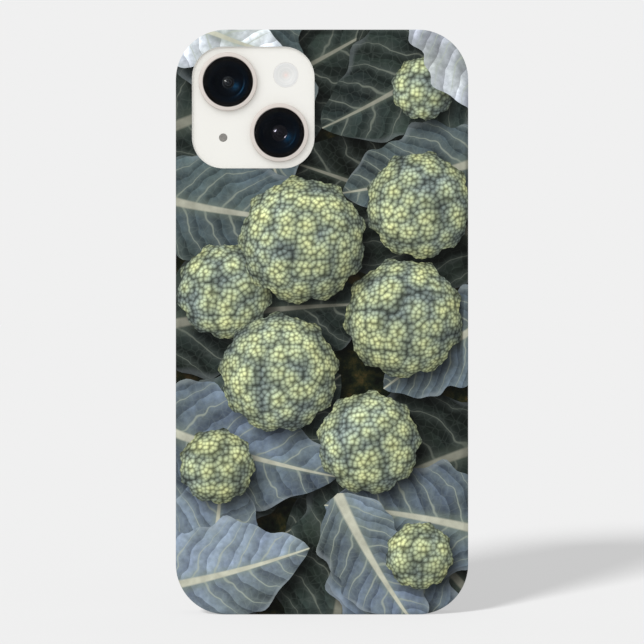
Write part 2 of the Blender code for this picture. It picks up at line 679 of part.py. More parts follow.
def gather(name):
    """Parents every piece to one empty at the origin, so that the phone moves as a whole."""
    holder = bpy.data.objects.new(name, None)
    bpy.context.collection.objects.link(holder)
    for piece in bpy.context.collection.objects:
        if piece is not holder:
            piece.parent = holder


def main():
    """Builds the phone in its case."""
    clear_scene()
    case_shell()
    frame()
    back_glass()
    cameras()
    flash_and_microphone()
    front()
    midplate()
    keys()
    lower_edge()
    battery_and_board()
    coils_and_magnets()
    sound_and_haptics()
    gather("phone_in_case")


main()
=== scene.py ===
"""Looks of a smartphone in a printed hard case, standing on its lower edge in a pale studio.

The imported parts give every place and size. What shows is modelled again as smooth meshes round
them: the case and its printed film, the camera corner, the keys, the lower edge and the coils.
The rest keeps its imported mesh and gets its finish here. All lengths are in metres, except in the
printed design, which is laid out in millimetres on the unrolled skin of the case.
"""

import logging
import math
from dataclasses import dataclass, field
from enum import Enum
from functools import cached_property, partialmethod
from typing import Any, Iterable, Sequence

import bmesh
import bpy
import numpy as np
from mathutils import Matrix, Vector
from mathutils.geometry import delaunay_2d_cdt


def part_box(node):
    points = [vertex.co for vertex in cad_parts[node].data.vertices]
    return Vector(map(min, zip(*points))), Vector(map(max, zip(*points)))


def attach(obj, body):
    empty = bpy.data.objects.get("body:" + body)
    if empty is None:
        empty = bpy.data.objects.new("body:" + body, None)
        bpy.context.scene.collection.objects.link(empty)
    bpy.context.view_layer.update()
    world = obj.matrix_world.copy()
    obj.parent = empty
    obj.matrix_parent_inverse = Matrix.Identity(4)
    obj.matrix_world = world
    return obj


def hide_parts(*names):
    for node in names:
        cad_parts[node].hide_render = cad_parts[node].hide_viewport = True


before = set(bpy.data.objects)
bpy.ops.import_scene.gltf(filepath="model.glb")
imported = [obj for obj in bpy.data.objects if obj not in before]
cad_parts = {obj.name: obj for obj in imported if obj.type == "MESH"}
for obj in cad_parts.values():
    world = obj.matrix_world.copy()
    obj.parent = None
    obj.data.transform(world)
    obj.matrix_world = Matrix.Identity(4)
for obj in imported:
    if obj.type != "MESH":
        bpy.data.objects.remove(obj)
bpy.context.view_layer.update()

Pair = tuple[float, float]
Triple = tuple[float, float, float]
Stops = Sequence[tuple[str, float]]

LOG = logging.getLogger("phone")
MM = 0.001
PHONE_BODY = "phone"
SHARP_ANGLE = math.radians(34)
QUARTER = math.pi / 2
QUADRANTS = ((1, 1), (-1, 1), (-1, -1), (1, -1))
FILM_VALUES = ("pattern", "look", "span")


def linear(code: str) -> tuple[float, float, float, float]:
    """Turns an sRGB hex colour into linear values with full alpha.

    Args:
        code: Six hex digits, such as "c9c9b5".

    Returns:
        Red, green, blue and alpha.
    """
    channels = [int(code[place:place + 2], 16) / 255 for place in (0, 2, 4)]
    curved = [c / 12.92 if c <= 0.04045 else ((c + 0.055) / 1.055) ** 2.4 for c in channels]
    return curved[0], curved[1], curved[2], 1.0


def per_metre(size_mm: float) -> float:
    """Gives the texture scale at which one feature measures size_mm."""
    return 1000.0 / size_mm


def link(tree: bpy.types.NodeTree, value: Any, target: bpy.types.NodeSocket) -> None:
    """Gives an input its value, or links it to what it reads.

    Args:
        tree: The tree that holds the input.
        value: A plain value, a hex colour, a signal, or a node whose first output is meant.
        target: The input.
    """
    if isinstance(value, str):
        value = linear(value)[:len(target.default_value)]
    if isinstance(value, (Signal, bpy.types.Node)):
        tree.links.new(Signal(tree, value).socket, target)
    else:
        target.default_value = value


def add(tree: bpy.types.NodeTree, kind: str, inputs: dict[Any, Any] | None = None, **settings: Any) -> Any:
    """Adds a node.

    Args:
        tree: The tree that takes the node.
        kind: The node's type.
        inputs: Input name or number to what link takes.
        settings: The node's own properties.

    Returns:
        The new node.
    """
    node = tree.nodes.new(kind)
    for name, value in settings.items():
        setattr(node, name, value)
    for key, value in (inputs or {}).items():
        link(tree, value, node.inputs[key])
    return node


class Signal:
    """A number, vector or colour in a node tree, on which Python's own arithmetic adds nodes."""

    def __init__(self, tree: bpy.types.NodeTree, source: Any) -> None:
        """Holds an output.

        Args:
            tree: The tree that it is in.
            source: The socket, a node whose first output is meant, or another signal.
        """
        self.tree = tree
        self.socket = getattr(source, "socket", source)
        if isinstance(source, bpy.types.Node):
            self.socket = source.outputs[0]

    def feed(self, kind: str, inputs: dict[Any, Any], output: int | str = 0, **settings: Any) -> "Signal":
        """Adds a node to this signal's tree and gives one of its outputs."""
        return Signal(self.tree, add(self.tree, kind, inputs, **settings).outputs[output])

    def calc(self, operation: str, *values: Any) -> "Signal":
        """Adds a Math node that takes this signal first."""
        return self.feed("ShaderNodeMath", dict(enumerate((self, *values))), operation=operation)

    __add__ = partialmethod(calc, "ADD")
    __sub__ = partialmethod(calc, "SUBTRACT")
    __mul__ = partialmethod(calc, "MULTIPLY")
    __truediv__ = partialmethod(calc, "DIVIDE")
    __pow__ = partialmethod(calc, "POWER")
    __abs__ = partialmethod(calc, "ABSOLUTE")

    def vector(self, operation: str, *values: Any, output: int = 0) -> "Signal":
        """Adds a Vector Math node that takes this signal first."""
        inputs = dict(enumerate((self, *values)))
        return self.feed("ShaderNodeVectorMath", inputs, output, operation=operation)

    def length(self) -> "Signal":
        """Gives the length of this vector."""
        return self.vector("LENGTH", output=1)

    def split(self) -> list["Signal"]:
        """Gives the three parts of this vector."""
        parts = add(self.tree, "ShaderNodeSeparateXYZ", {0: self}).outputs
        return [Signal(self.tree, part) for part in parts]

    def scale(self, colour: Any) -> "Signal":
        """Scales a vector or a colour by this number."""
        return self.feed("ShaderNodeVectorMath", {0: colour, "Scale": self}, operation="SCALE")

    def remap(self, low: float = 0.0, high: float = 1.0, to_low: float = 0.0,
              to_high: float = 1.0) -> "Signal":
        """Carries the range from low to high over to the one from to_low to to_high, and keeps to it."""
        ends = {"From Min": low, "From Max": high, "To Min": to_low, "To Max": to_high}
        return self.feed("ShaderNodeMapRange", {"Value": self, **ends})

    def mix(self, first: Any, second: Any) -> "Signal":
        """Mixes two colours by this share."""
        return self.feed("ShaderNodeMix", {"Factor": self, 6: first, 7: second}, 2, data_type="RGBA")

    def waves(self, pitch_mm: float) -> "Signal":
        """Gives a sine wave over this length, for fine turned or moulded rings."""
        return (self * (math.tau * per_metre(pitch_mm))).calc("SINE")

    def relief(self, height_mm: float, strength: float) -> "Signal":
        """Gives the normals of a relief of this shape."""
        return self.feed("ShaderNodeBump", {"Height": self, "Distance": height_mm * MM, "Strength": strength})

    def ramp(self, stops: Stops) -> "Signal":
        """Colours this number.

        Args:
            stops: A hex colour and its position for each stop, from low to high.

        Returns:
            The colour.
        """
        node = add(self.tree, "ShaderNodeValToRGB", {"Fac": self})
        elements = node.color_ramp.elements
        elements[0].position, elements[1].position = stops[0][1], stops[-1][1]
        elements[0].color, elements[1].color = linear(stops[0][0]), linear(stops[-1][0])
        for code, position in stops[1:-1]:
            elements.new(position).color = linear(code)
        return Signal(self.tree, node)


class Coat:
    """A material in the making: one Principled shader, and the patterns that feed it."""

    def __init__(self, name: str, values: dict[str, Any]) -> None:
        """Makes the material.

        Args:
            name: Its name.
            values: The shader's socket names, and their values.
        """
        self.material = bpy.data.materials.new(name)
        self.material.use_nodes = True
        self.tree = self.material.node_tree
        self.set(values)

    def set(self, values: dict[str, Any]) -> None:
        """Gives the shader's sockets, by name, their values or signals."""
        for title, value in values.items():
            link(self.tree, value, self.tree.nodes["Principled BSDF"].inputs[title])

    @cached_property
    def place(self) -> Signal:
        """The Object coordinates."""
        return Signal(self.tree, add(self.tree, "ShaderNodeTexCoord").outputs["Object"])

    def noise(self, size_mm: float, detail: float, place: Signal | None = None, **inputs: float) -> Signal:
        """Gives a noise of one feature size, in Object coordinates unless a place is given."""
        where = {"Vector": place or self.place, "Scale": per_metre(size_mm), "Detail": detail}
        return self.place.feed("ShaderNodeTexNoise", {**where, **inputs})

    def cloud(self, size_mm: float, low: float, high: float) -> Signal:
        """Gives a noise of one feature size, spread over a range."""
        return self.noise(size_mm, 4.0).remap(0.32, 0.68, low, high)

    def radius(self, centre: Pair) -> Signal:
        """Gives the distance in X and Z from a centre."""
        from_centre = self.place.vector("SUBTRACT", (centre[0], 0.0, centre[1]))
        return from_centre.vector("MULTIPLY", (1.0, 0.0, 1.0)).length()

    def attribute(self, name: str) -> list[Signal]:
        """Gives the three parts of a value that the face corners carry."""
        node = add(self.tree, "ShaderNodeAttribute", attribute_name=name)
        return Signal(self.tree, node.outputs["Vector"]).split()

    def finish(self, colour: Signal, gloss: Signal, relief: Signal | None = None) -> bpy.types.Material:
        """Feeds the shader's colour, roughness and normal, and gives the material."""
        self.set({"Base Color": colour, "Roughness": gloss, **({"Normal": relief} if relief else {})})
        return self.material


class Axis(Enum):
    """The axis that an outline is drawn across, with the places of u, v and level in a point."""

    X = (1, 2, 0)
    Y = (0, 2, 1)
    Z = (0, 1, 2)


@dataclass(frozen=True)
class Box:
    """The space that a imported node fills."""

    low: Vector
    high: Vector

    @classmethod
    def of(cls, node: str) -> "Box":
        """Reads a node's box from the frame."""
        low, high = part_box(node)
        return cls(Vector(low), Vector(high))

    @property
    def middle(self) -> Vector:
        """The box's centre."""
        return (self.low + self.high) / 2

    @property
    def size(self) -> Vector:
        """The box's extents."""
        return self.high - self.low

    def outline(self, axis: Axis, corner: float, steps: int, less: Pair = (0.0, 0.0)) -> "Outline":
        """Gives the box's outline across an axis, less as much on each side along u and v.

        Args:
            axis: The axis.
            corner: The radius of the corners.
            steps: Segments of a corner.
            less: What is taken off each side.

        Returns:
            The outline.
        """
        u, v, _ = axis.value
        half_u, half_v = self.size[u] / 2 - less[0], self.size[v] / 2 - less[1]
        return Outline(axis, half_u, half_v, corner, self.middle[u], self.middle[v], steps)


@dataclass(frozen=True)
class Outline:
    """A rounded rectangle across one axis. With equal sides and a full corner it is a circle."""

    axis: Axis
    half_u: float
    half_v: float
    corner: float
    u: float
    v: float
    steps: int = 12

    def at(self, inset: float, level: float) -> list[Vector]:
        """Gives the outline's points.

        Args:
            inset: How far the outline is shrunk.
            level: The place along the axis.

        Returns:
            The points, in order round the outline.
        """
        corner = max(self.corner - inset, 1e-6)
        reach_u = max(self.half_u - inset - corner, 0.0)
        reach_v = max(self.half_v - inset - corner, 0.0)
        points = []
        for quarter, (sign_u, sign_v) in enumerate(QUADRANTS):
            straight = reach_u if quarter % 2 == 0 else reach_v
            last = self.steps if straight > 1e-7 else self.steps - 1
            for step in range(last + 1):
                turn = QUARTER * (quarter + step / self.steps)
                point = [0.0, 0.0, 0.0]
                point[self.axis.value[0]] = self.u + sign_u * reach_u + corner * math.cos(turn)
                point[self.axis.value[1]] = self.v + sign_v * reach_v + corner * math.sin(turn)
                point[self.axis.value[2]] = level
                points.append(Vector(point))
        return points


CAMERA_WINDOW = Outline(Axis.Y, 0.0315 / 2, 0.0313 / 2, 0.0080, -0.01766, 0.1303, 16)


def circle(axis: Axis, radius: float, u: float, v: float, steps: int = 16) -> Outline:
    """Gives a circle as an outline with no straight sides."""
    return Outline(axis, radius, radius, radius, u, v, steps)


def quarter_round(inset: float, level: float, radius: float, way: int, steps: int = 5) -> list[Pair]:
    """Gives the (inset, level) pairs of a convex quarter round, from the face to the side.

    Args:
        inset: The side's inset.
        level: The face's level.
        radius: The rounding's radius.
        way: 1 if the solid lies above the face's level, -1 if below.
        steps: Segments of the round.

    Returns:
        The pairs.
    """
    turns = [QUARTER * step / steps for step in range(steps + 1)]
    return [(inset + radius * (1 - math.sin(a)), level + way * radius * (1 - math.cos(a))) for a in turns]


def mesh_object(name: str, vertices: Sequence[Any], faces: Sequence[Any]) -> bpy.types.Object:
    """Links a new mesh object at the origin.

    Args:
        name: The object's name.
        vertices: The places of its vertices.
        faces: Vertex numbers of each face.

    Returns:
        The object.
    """
    mesh = bpy.data.meshes.new(name)
    mesh.from_pydata([tuple(v) for v in vertices], [], [tuple(f) for f in faces])
    mesh.update()
    piece = bpy.data.objects.new(name, mesh)
    bpy.context.collection.objects.link(piece)
    return piece


def soften(piece: bpy.types.Object, angle: float = SHARP_ANGLE) -> bpy.types.Object:
    """Shades a piece smooth, but for edges sharper than the angle."""
    piece.data.shade_smooth()
    piece.data.set_sharp_from_angle(angle=angle)
    return piece


def loft(name: str, loops: Sequence[Sequence[Vector]], closed: bool = False) -> bpy.types.Object:
    """Makes a closed solid through equal loops.

    Args:
        name: The solid's name.
        loops: Loops with as many points each.
        closed: Whether the last loop joins the first. Otherwise both ends are capped.

    Returns:
        The solid.
    """
    shape = bmesh.new()
    rows = [[shape.verts.new(point) for point in loop] for loop in loops]
    pairs = list(zip(rows, rows[1:]))
    if closed:
        pairs.append((rows[-1], rows[0]))
    else:
        shape.faces.new(rows[0])
        shape.faces.new(rows[-1])
    for first, second in pairs:
        for here, point in enumerate(first):
            after = (here + 1) % len(first)
            shape.faces.new((point, first[after], second[after], second[here]))
    bmesh.ops.recalc_face_normals(shape, faces=shape.faces)
    piece = mesh_object(name, [], [])
    shape.to_mesh(piece.data)
    shape.free()
    return soften(piece)


def profile_loft(name: str, outline: Outline, profile: Iterable[Pair],
                 closed: bool = False) -> bpy.types.Object:
    """Lofts one outline through (inset, level) pairs."""
    return loft(name, [outline.at(inset, level) for inset, level in profile], closed)


def plain(piece: bpy.types.Object) -> bpy.types.Object:
    """Turns a piece's live modifiers into its mesh.

    Args:
        piece: The piece.

    Returns:
        The same piece.
    """
    graph = bpy.context.evaluated_depsgraph_get()
    mesh = bpy.data.meshes.new_from_object(piece.evaluated_get(graph))
    piece.modifiers.clear()
    piece.data = mesh
    mesh.name = piece.name
    return piece


def combine(piece: bpy.types.Object, tools: Sequence[bpy.types.Object], operation: str) -> bpy.types.Object:
    """Cuts tools from a piece or joins them on, and removes them.

    Args:
        piece: The piece that stays.
        tools: Closed shapes.
        operation: DIFFERENCE or UNION.

    Returns:
        The piece.
    """
    for tool in tools:
        boolean = piece.modifiers.new(tool.name, "BOOLEAN")
        boolean.operation = operation
        boolean.solver = "EXACT"
        boolean.object = tool
    plain(piece)
    for tool in tools:
        bpy.data.objects.remove(tool, do_unlink=True)
    return soften(piece)


def dress(piece: bpy.types.Object, material: bpy.types.Material,
          nodes: Sequence[str] = (), body: str = PHONE_BODY) -> None:
    """Gives a modelled piece its finish and its place in the frame.

    Args:
        piece: The finished mesh.
        material: Its finish.
        nodes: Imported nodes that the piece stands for.
        body: The body that it rides on.
    """
    piece.data.materials.clear()
    piece.data.materials.append(material)
    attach(piece, body)
    if nodes:
        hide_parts(*nodes)
    LOG.info("%s: %d faces, on %s", piece.name, len(piece.data.polygons), body)


def paint(nodes: Iterable[str], material: bpy.types.Material) -> None:
    """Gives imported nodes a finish, and leaves their meshes as they are.

    Args:
        nodes: The nodes.
        material: Their finish.
    """
    for node in nodes:
        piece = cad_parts[node]
        for place in piece.material_slots:
            place.material = material
        if not piece.material_slots:
            piece.data.materials.append(material)
        LOG.info("%s keeps its packed shape", node)


@dataclass(frozen=True)
class Finish:
    """A finish with an uneven colour, an uneven gloss and a fine relief.

    mottle_mm is the size of the colour's patches, grain_mm that of the relief's grains, and
    relief_mm the height of the relief.
    """

    name: str
    colour: str
    second: str
    roughness: float
    mottle_mm: float = 6.0
    mix: float = 0.5
    gloss_spread: float = 0.06
    grain_mm: float = 0.25
    relief_mm: float = 0.004
    metallic: float = 0.0
    stretch: Triple = (1.0, 1.0, 1.0)
    values: dict[str, Any] = field(default_factory=dict)

    def make(self) -> bpy.types.Material:
        """Builds the material, with its pattern in Object coordinates."""
        coat = Coat(self.name, {"Metallic": self.metallic, **self.values})
        along = coat.place.feed("ShaderNodeMapping", {"Vector": coat.place, "Scale": self.stretch})
        patches = coat.noise(self.mottle_mm, 4.0, along).remap(0.35, 0.65, 0.0, self.mix)
        grains = coat.noise(self.grain_mm, 3.0, along)
        gloss = grains.remap(0.3, 0.7, self.roughness - self.gloss_spread, self.roughness + self.gloss_spread)
        return coat.finish(patches.mix(self.colour, self.second), gloss, grains.relief(self.relief_mm, 0.6))


# Moulded polycarbonate: milky, satin, with the faint orange peel of the mould.
POLYCARBONATE = Finish("white_polycarbonate", "e2e1dd", "dad9d5", 0.40, grain_mm=0.5, relief_mm=0.003,
                       values={"Specular IOR Level": 0.3})
# Opaque white glass: an even warm white under a clear, very smooth face.
WHITE_GLASS = Finish("white_glass", "e8e7e2", "e6e5df", 0.38, mottle_mm=20.0, gloss_spread=0.02, grain_mm=1.5,
                     relief_mm=0.0004, values={"Specular IOR Level": 0.4})
# Bead-blasted, anodised aluminium: a close satin with a trace of champagne.
ALUMINIUM = Finish("anodised_aluminium", "cfc8c2", "c9c2bb", 0.50, mottle_mm=2.0, grain_mm=0.08,
                   relief_mm=0.001, metallic=1.0)
# Stamped stainless steel: drawn along its length.
STEEL = Finish("stamped_steel", "a9a7a2", "8f8d89", 0.33, mottle_mm=3.0, grain_mm=0.12, relief_mm=0.003,
               metallic=1.0, stretch=(0.15, 1.0, 1.0))
# Woven stainless wire: darker in its crossings.
WIRE = Finish("steel_wire", "b6b3ae", "8d8a85", 0.38, mottle_mm=0.4, grain_mm=0.05, relief_mm=0.001,
              metallic=1.0)
# Glass-filled nylon: matt black with a dusty bloom.
NYLON = Finish("black_nylon", "0b0b0c", "151516", 0.52, mottle_mm=4.0, grain_mm=0.15, relief_mm=0.006)
# Antenna resin: off-white and matt.
RESIN = Finish("antenna_resin", "cfccc5", "c4c1ba", 0.48, mottle_mm=2.0, grain_mm=0.1, relief_mm=0.003)
# Phosphor resin over the flash's light: chalky yellow.
PHOSPHOR = Finish("phosphor_resin", "e3c65a", "cfae3e", 0.55, mottle_mm=0.5, grain_mm=0.05, relief_mm=0.004)
# Enamelled copper wire: warm, bright and slightly streaked.
COPPER = Finish("enamelled_copper", "c07a4a", "a4602f", 0.26, mottle_mm=3.0, grain_mm=0.2, relief_mm=0.002,
                metallic=1.0)
# Nickel-plated magnets: cool grey with handling marks.
NICKEL = Finish("nickel_plate", "b3b0a8", "9a978f", 0.24, mottle_mm=2.5, grain_mm=0.3, relief_mm=0.002,
                metallic=1.0)
# Lacquered circuit board: near-black green, glossy where the lacquer pools.
BOARD = Finish("board_lacquer", "0d2a22", "143a2c", 0.36, mottle_mm=1.2, mix=0.8, grain_mm=0.3,
               relief_mm=0.012)
# Battery pouch: dark foil laminate, softly creased.
POUCH = Finish("battery_laminate", "26272a", "2f3034", 0.42, mottle_mm=9.0, grain_mm=3.0, relief_mm=0.06,
               values={"Coat Weight": 0.15})
# Emissive panel when off: a neutral black with a faint blue cast.
PANEL = Finish("panel_black", "08090c", "0b0d12", 0.20, mottle_mm=12.0, grain_mm=0.1, relief_mm=0.0005)
# Gold-plated contacts.
GOLD = Finish("contact_gold", "d6b25e", "c19a44", 0.25, mottle_mm=0.6, grain_mm=0.08, relief_mm=0.001,
              metallic=1.0)


@dataclass(frozen=True)
class CoatedGlass:
    """A polished cover disc, so well coated that only a twentieth of its sheen is left."""

    name: str = "coated_cover_glass"
    tint: str = "040405"
    marked: str = "060708"
    cover: float = 0.05
    mark_mm: float = 3.0

    def make(self) -> bpy.types.Material:
        """Builds the glass. Its only pattern is a trace of wiping marks in the tint."""
        coat = Coat(self.name, {"Alpha": self.cover, "IOR": 1.45, "Roughness": 0.02})
        coat.set({"Base Color": coat.noise(self.mark_mm, 3.0).mix(self.tint, self.marked)})
        return coat.material


@dataclass(frozen=True)
class LensCoating:
    """A blackened lens part whose coating leaves only a faint, coloured mirror.

    The coatings cancel most of what glass reflects, so the IOR is well below that of bare glass.
    line_mm is the pitch of the fine turned lines round the optical axis. On the upper front element the
    lines' lighter grey is painted reflection of concentric rings.
    """

    name: str
    body: str
    line: str
    mirror: str
    ior: float
    roughness: float
    centre: Pair
    line_mm: float = 0.45
    line_height_mm: float = 0.004

    def make(self) -> bpy.types.Material:
        """Builds the coating, with its turned lines round the centre; on the upper front element their
        lighter grey is painted ring reflection.
        """
        coat = Coat(self.name, {"Specular Tint": self.mirror, "IOR": self.ior})
        lines = coat.radius(self.centre).waves(self.line_mm)
        gloss = lines.remap(-1.0, 1.0, self.roughness, self.roughness + 0.05)
        colour = lines.remap(0.55).mix(self.body, self.line)
        return coat.finish(colour, gloss, lines.relief(self.line_height_mm, 0.4))


@dataclass(frozen=True)
class FlashDiffuser:
    """The milky moulded lens over the flash, warm in its middle, with fine rings."""

    centre: Pair
    radius: float
    ring_mm: float = 0.8
    ring_height_mm: float = 0.02
    stops: Stops = (("e8d2cd", 0.0), ("dfd8d4", 0.16), ("d9dad8", 0.40), ("dddddb", 0.62), ("d8d9d8", 0.86),
                    ("dedddb", 1.0))

    def make(self) -> bpy.types.Material:
        """Builds the diffuser's material from the distance to its centre."""
        coat = Coat("flash_diffuser", {"Subsurface Weight": 0.15, "Subsurface Radius": (0.002, 0.002, 0.002)})
        distance = coat.radius(self.centre)
        rings = distance.waves(self.ring_mm)
        colour = (distance / self.radius).ramp(self.stops)
        return coat.finish(colour, rings.remap(-1.0, 1.0, 0.24, 0.34), rings.relief(self.ring_height_mm, 0.5))


@dataclass(frozen=True)
class ScreenGlass:
    """Black glass over the display: a deeper border, the panel's soft black and the sensor notch."""

    box: Box
    border: float = 0.0030
    corner: float = 0.0085
    notch: Pair = (0.0134, 0.0058)
    notch_corner: float = 0.0032
    camera_x: float = 0.0068
    camera_drop: float = 0.0022
    camera_radius: float = 0.0016

    def make(self) -> bpy.types.Material:
        """Builds the glass from signed distances to the panel's and the notch's outlines."""
        coat = Coat("screen_glass", {"IOR": 1.5})
        middle = self.box.middle
        half = (self.box.size.x / 2 - self.border, self.box.size.z / 2 - self.border)
        top = middle.z + half[1]
        eye, reach = (self.camera_x, top - self.camera_drop), self.camera_radius
        panel = self.rounded(coat.place, (middle.x, middle.z), half, self.corner)
        notch = self.rounded(coat.place, (middle.x, top), self.notch, self.notch_corner)
        lens = self.rounded(coat.place, eye, (reach, reach), reach)
        shown = panel.calc("MAXIMUM", notch * -1.0)
        base = shown.remap(0.00003, -0.00003).mix("020203", "0c0d11")
        colour = lens.remap(0.00005, -0.0006).mix(base, "101a2c")
        return coat.finish(colour, coat.noise(26.0, 5.0, Distortion=0.6).remap(0.4, 0.75, 0.03, 0.10))

    @staticmethod
    def rounded(place: Signal, centre: Pair, half: Pair, corner: float) -> Signal:
        """Gives the signed distance to a rounded rectangle in X and Z.

        Args:
            place: The Object coordinates.
            centre: X and Z of its middle.
            half: Half its width and height.
            corner: Its corner radius.

        Returns:
            The distance, negative inside.
        """
        folded = place.vector("SUBTRACT", (centre[0], 0.0, centre[1])).vector("ABSOLUTE")
        past = folded.vector("SUBTRACT", (half[0] - corner, 0.0, half[1] - corner))
        outside = past.vector("MULTIPLY", (1.0, 0.0, 1.0)).vector("MAXIMUM", (0.0, 0.0, 0.0))
        x, _, z = past.split()
        return outside.length() + x.calc("MAXIMUM", z).calc("MINIMUM", 0.0) - corner


class Motif(Enum):
    """What a patch of the printed design shows, as the number that its faces carry."""

    GROUND = 0.0
    LEAF = 1.0
    SEED_HEAD = 2.0


@dataclass(frozen=True)
class Leaf:
    """A broad printed leaf: where its stalk starts, the way it points, and its size in millimetres."""

    x: float
    z: float
    turn: float
    length: float
    width: float
    tone: float
    bend: float = 0.0
    seed: int = 0
    motif = Motif.LEAF

    def half_width(self, share: np.ndarray, side: int) -> np.ndarray:
        """Gives the half width, with a waved margin.

        Args:
            share: Places along the leaf, as shares of its length.
            side: 1 or -1 for the upper or the lower margin, or 0 for their mean.

        Returns:
            The half width at each place.
        """
        body = np.sin(np.pi * np.clip(share, 0.0, 1.0) ** 0.82) ** 0.72
        waves = 1 + 0.10 * np.sin(share * 17 + self.seed * 1.7 + side) + 0.05 * np.sin(share * 43 + self.seed)
        return self.width / 2 * body * waves

    def local(self, points: np.ndarray) -> np.ndarray:
        """Turns points of the skin into distances along and across the midrib.

        Args:
            points: X and Z on the flat skin.

        Returns:
            The distances, one row for each point.
        """
        cosine, sine = self.way
        offset = points - (self.x, self.z)
        along = offset[:, 0] * cosine + offset[:, 1] * sine
        across = offset[:, 1] * cosine - offset[:, 0] * sine
        return np.column_stack((along, across - self.bend * (along / self.length) ** 2 * self.length))

    def outline(self, steps: int = 48) -> np.ndarray:
        """Gives the leaf's margin.

        Args:
            steps: Segments of each side.

        Returns:
            Points of the skin, in order.
        """
        share = np.linspace(0.0, 1.0, steps + 1)
        upper = np.column_stack((share, self.half_width(share, 1)))
        lower = np.column_stack((share[1:-1][::-1], -self.half_width(share[1:-1][::-1], -1)))
        loop = np.vstack((upper, lower))
        along = loop[:, 0] * self.length
        across = loop[:, 1] + self.bend * loop[:, 0] ** 2 * self.length
        cosine, sine = self.way
        return np.column_stack((self.x + along * cosine - across * sine,
                                self.z + along * sine + across * cosine))

    def pattern(self, points: np.ndarray) -> np.ndarray:
        """Gives what the veins need at points of the skin: along, across, and the half width."""
        place = self.local(points)
        width = self.half_width(place[:, 0] / self.length, 0)
        return np.column_stack((place, np.maximum(width, 0.5)))

    @property
    def way(self) -> Pair:
        """The cosine and the sine of the leaf's turn."""
        return math.cos(math.radians(self.turn)), math.sin(math.radians(self.turn))

    @property
    def span(self) -> float:
        """The length that sets the spacing of the veins."""
        return self.length


@dataclass(frozen=True)
class SeedHead:
    """A round printed seed head: its middle, its radius in millimetres and its tone."""

    x: float
    z: float
    radius: float
    tone: float
    seed: int = 0
    motif = Motif.SEED_HEAD

    def outline(self, steps: int = 120) -> np.ndarray:
        """Gives the head's slightly lobed rim.

        Args:
            steps: Segments of the rim.

        Returns:
            Points of the skin, in order.
        """
        turn = np.linspace(0.0, math.tau, steps, endpoint=False)
        lobes = (1 + 0.035 * np.sin(9 * turn + self.seed) + 0.02 * np.sin(17 * turn + 2 * self.seed)
                 + 0.010 * np.sin(41 * turn))
        return np.column_stack((self.x + self.radius * lobes * np.cos(turn),
                                self.z + self.radius * lobes * np.sin(turn)))

    def pattern(self, points: np.ndarray) -> np.ndarray:
        """Gives what the seeds need at points of the skin: both distances from the middle, and the radius."""
        offset = points - (self.x, self.z)
        return np.column_stack((offset, np.full(len(points), self.radius)))

    @property
    def span(self) -> float:
        """The width across the head."""
        return 2 * self.radius


LAYOUT: tuple[Leaf | SeedHead, ...] = (
    Leaf(-44, 48, 20, 66, 40, 0.10, 0.10, 1),
    Leaf(16, 86, -66, 64, 36, 0.06, -0.12, 2),
    Leaf(48, 18, 152, 62, 40, 0.02, 0.10, 3),
    Leaf(-46, -2, 12, 60, 36, 0.10, -0.10, 4),
    Leaf(48, -30, 196, 62, 40, 0.06, 0.12, 5),
    Leaf(-48, -50, 30, 64, 38, 0.20, 0.08, 6),
    Leaf(2, -90, 84, 60, 36, 0.12, -0.10, 7),
    Leaf(50, -84, 128, 64, 38, 0.08, 0.12, 8),
    Leaf(-24, 90, -82, 58, 32, 0.34, 0.10, 9),
    Leaf(50, 80, 218, 58, 34, 0.18, -0.12, 10),
    Leaf(-50, 34, -16, 50, 30, 0.36, 0.12, 11),
    Leaf(48, 44, 200, 44, 26, 0.40, -0.10, 12),
    SeedHead(26, 60, 8.0, 0.2, 1),
    SeedHead(25, 30, 13.5, 0.5, 2),
    SeedHead(-25, 8, 12.0, 0.3, 3),
    Leaf(-50, -24, -22, 56, 32, 0.50, 0.10, 13),
    Leaf(50, 4, 206, 40, 24, 0.46, 0.10, 22),
    SeedHead(21, 1, 15.0, 0.6, 4),
    Leaf(22, -90, 100, 56, 32, 0.52, -0.08, 14),
    Leaf(-34, -88, 74, 52, 32, 0.56, 0.12, 15),
    SeedHead(-5, 21, 16.0, 0.7, 5),
    Leaf(-52, 86, -30, 46, 24, 0.97, 0.12, 16),
    Leaf(30, 90, -74, 42, 24, 1.0, 0.10, 17),
    SeedHead(-11, -13, 15.0, 0.5, 6),
    Leaf(50, -56, 164, 50, 28, 0.50, 0.10, 19),
    SeedHead(12, -31, 13.0, 0.4, 7),
    Leaf(-52, -70, 8, 50, 28, 0.64, 0.10, 20),
    SeedHead(-27, -37, 9.5, 0.6, 8),
    Leaf(4, -44, -66, 42, 22, 0.54, 0.12, 21),
    SeedHead(25, -60, 8.5, 0.5, 9),
)


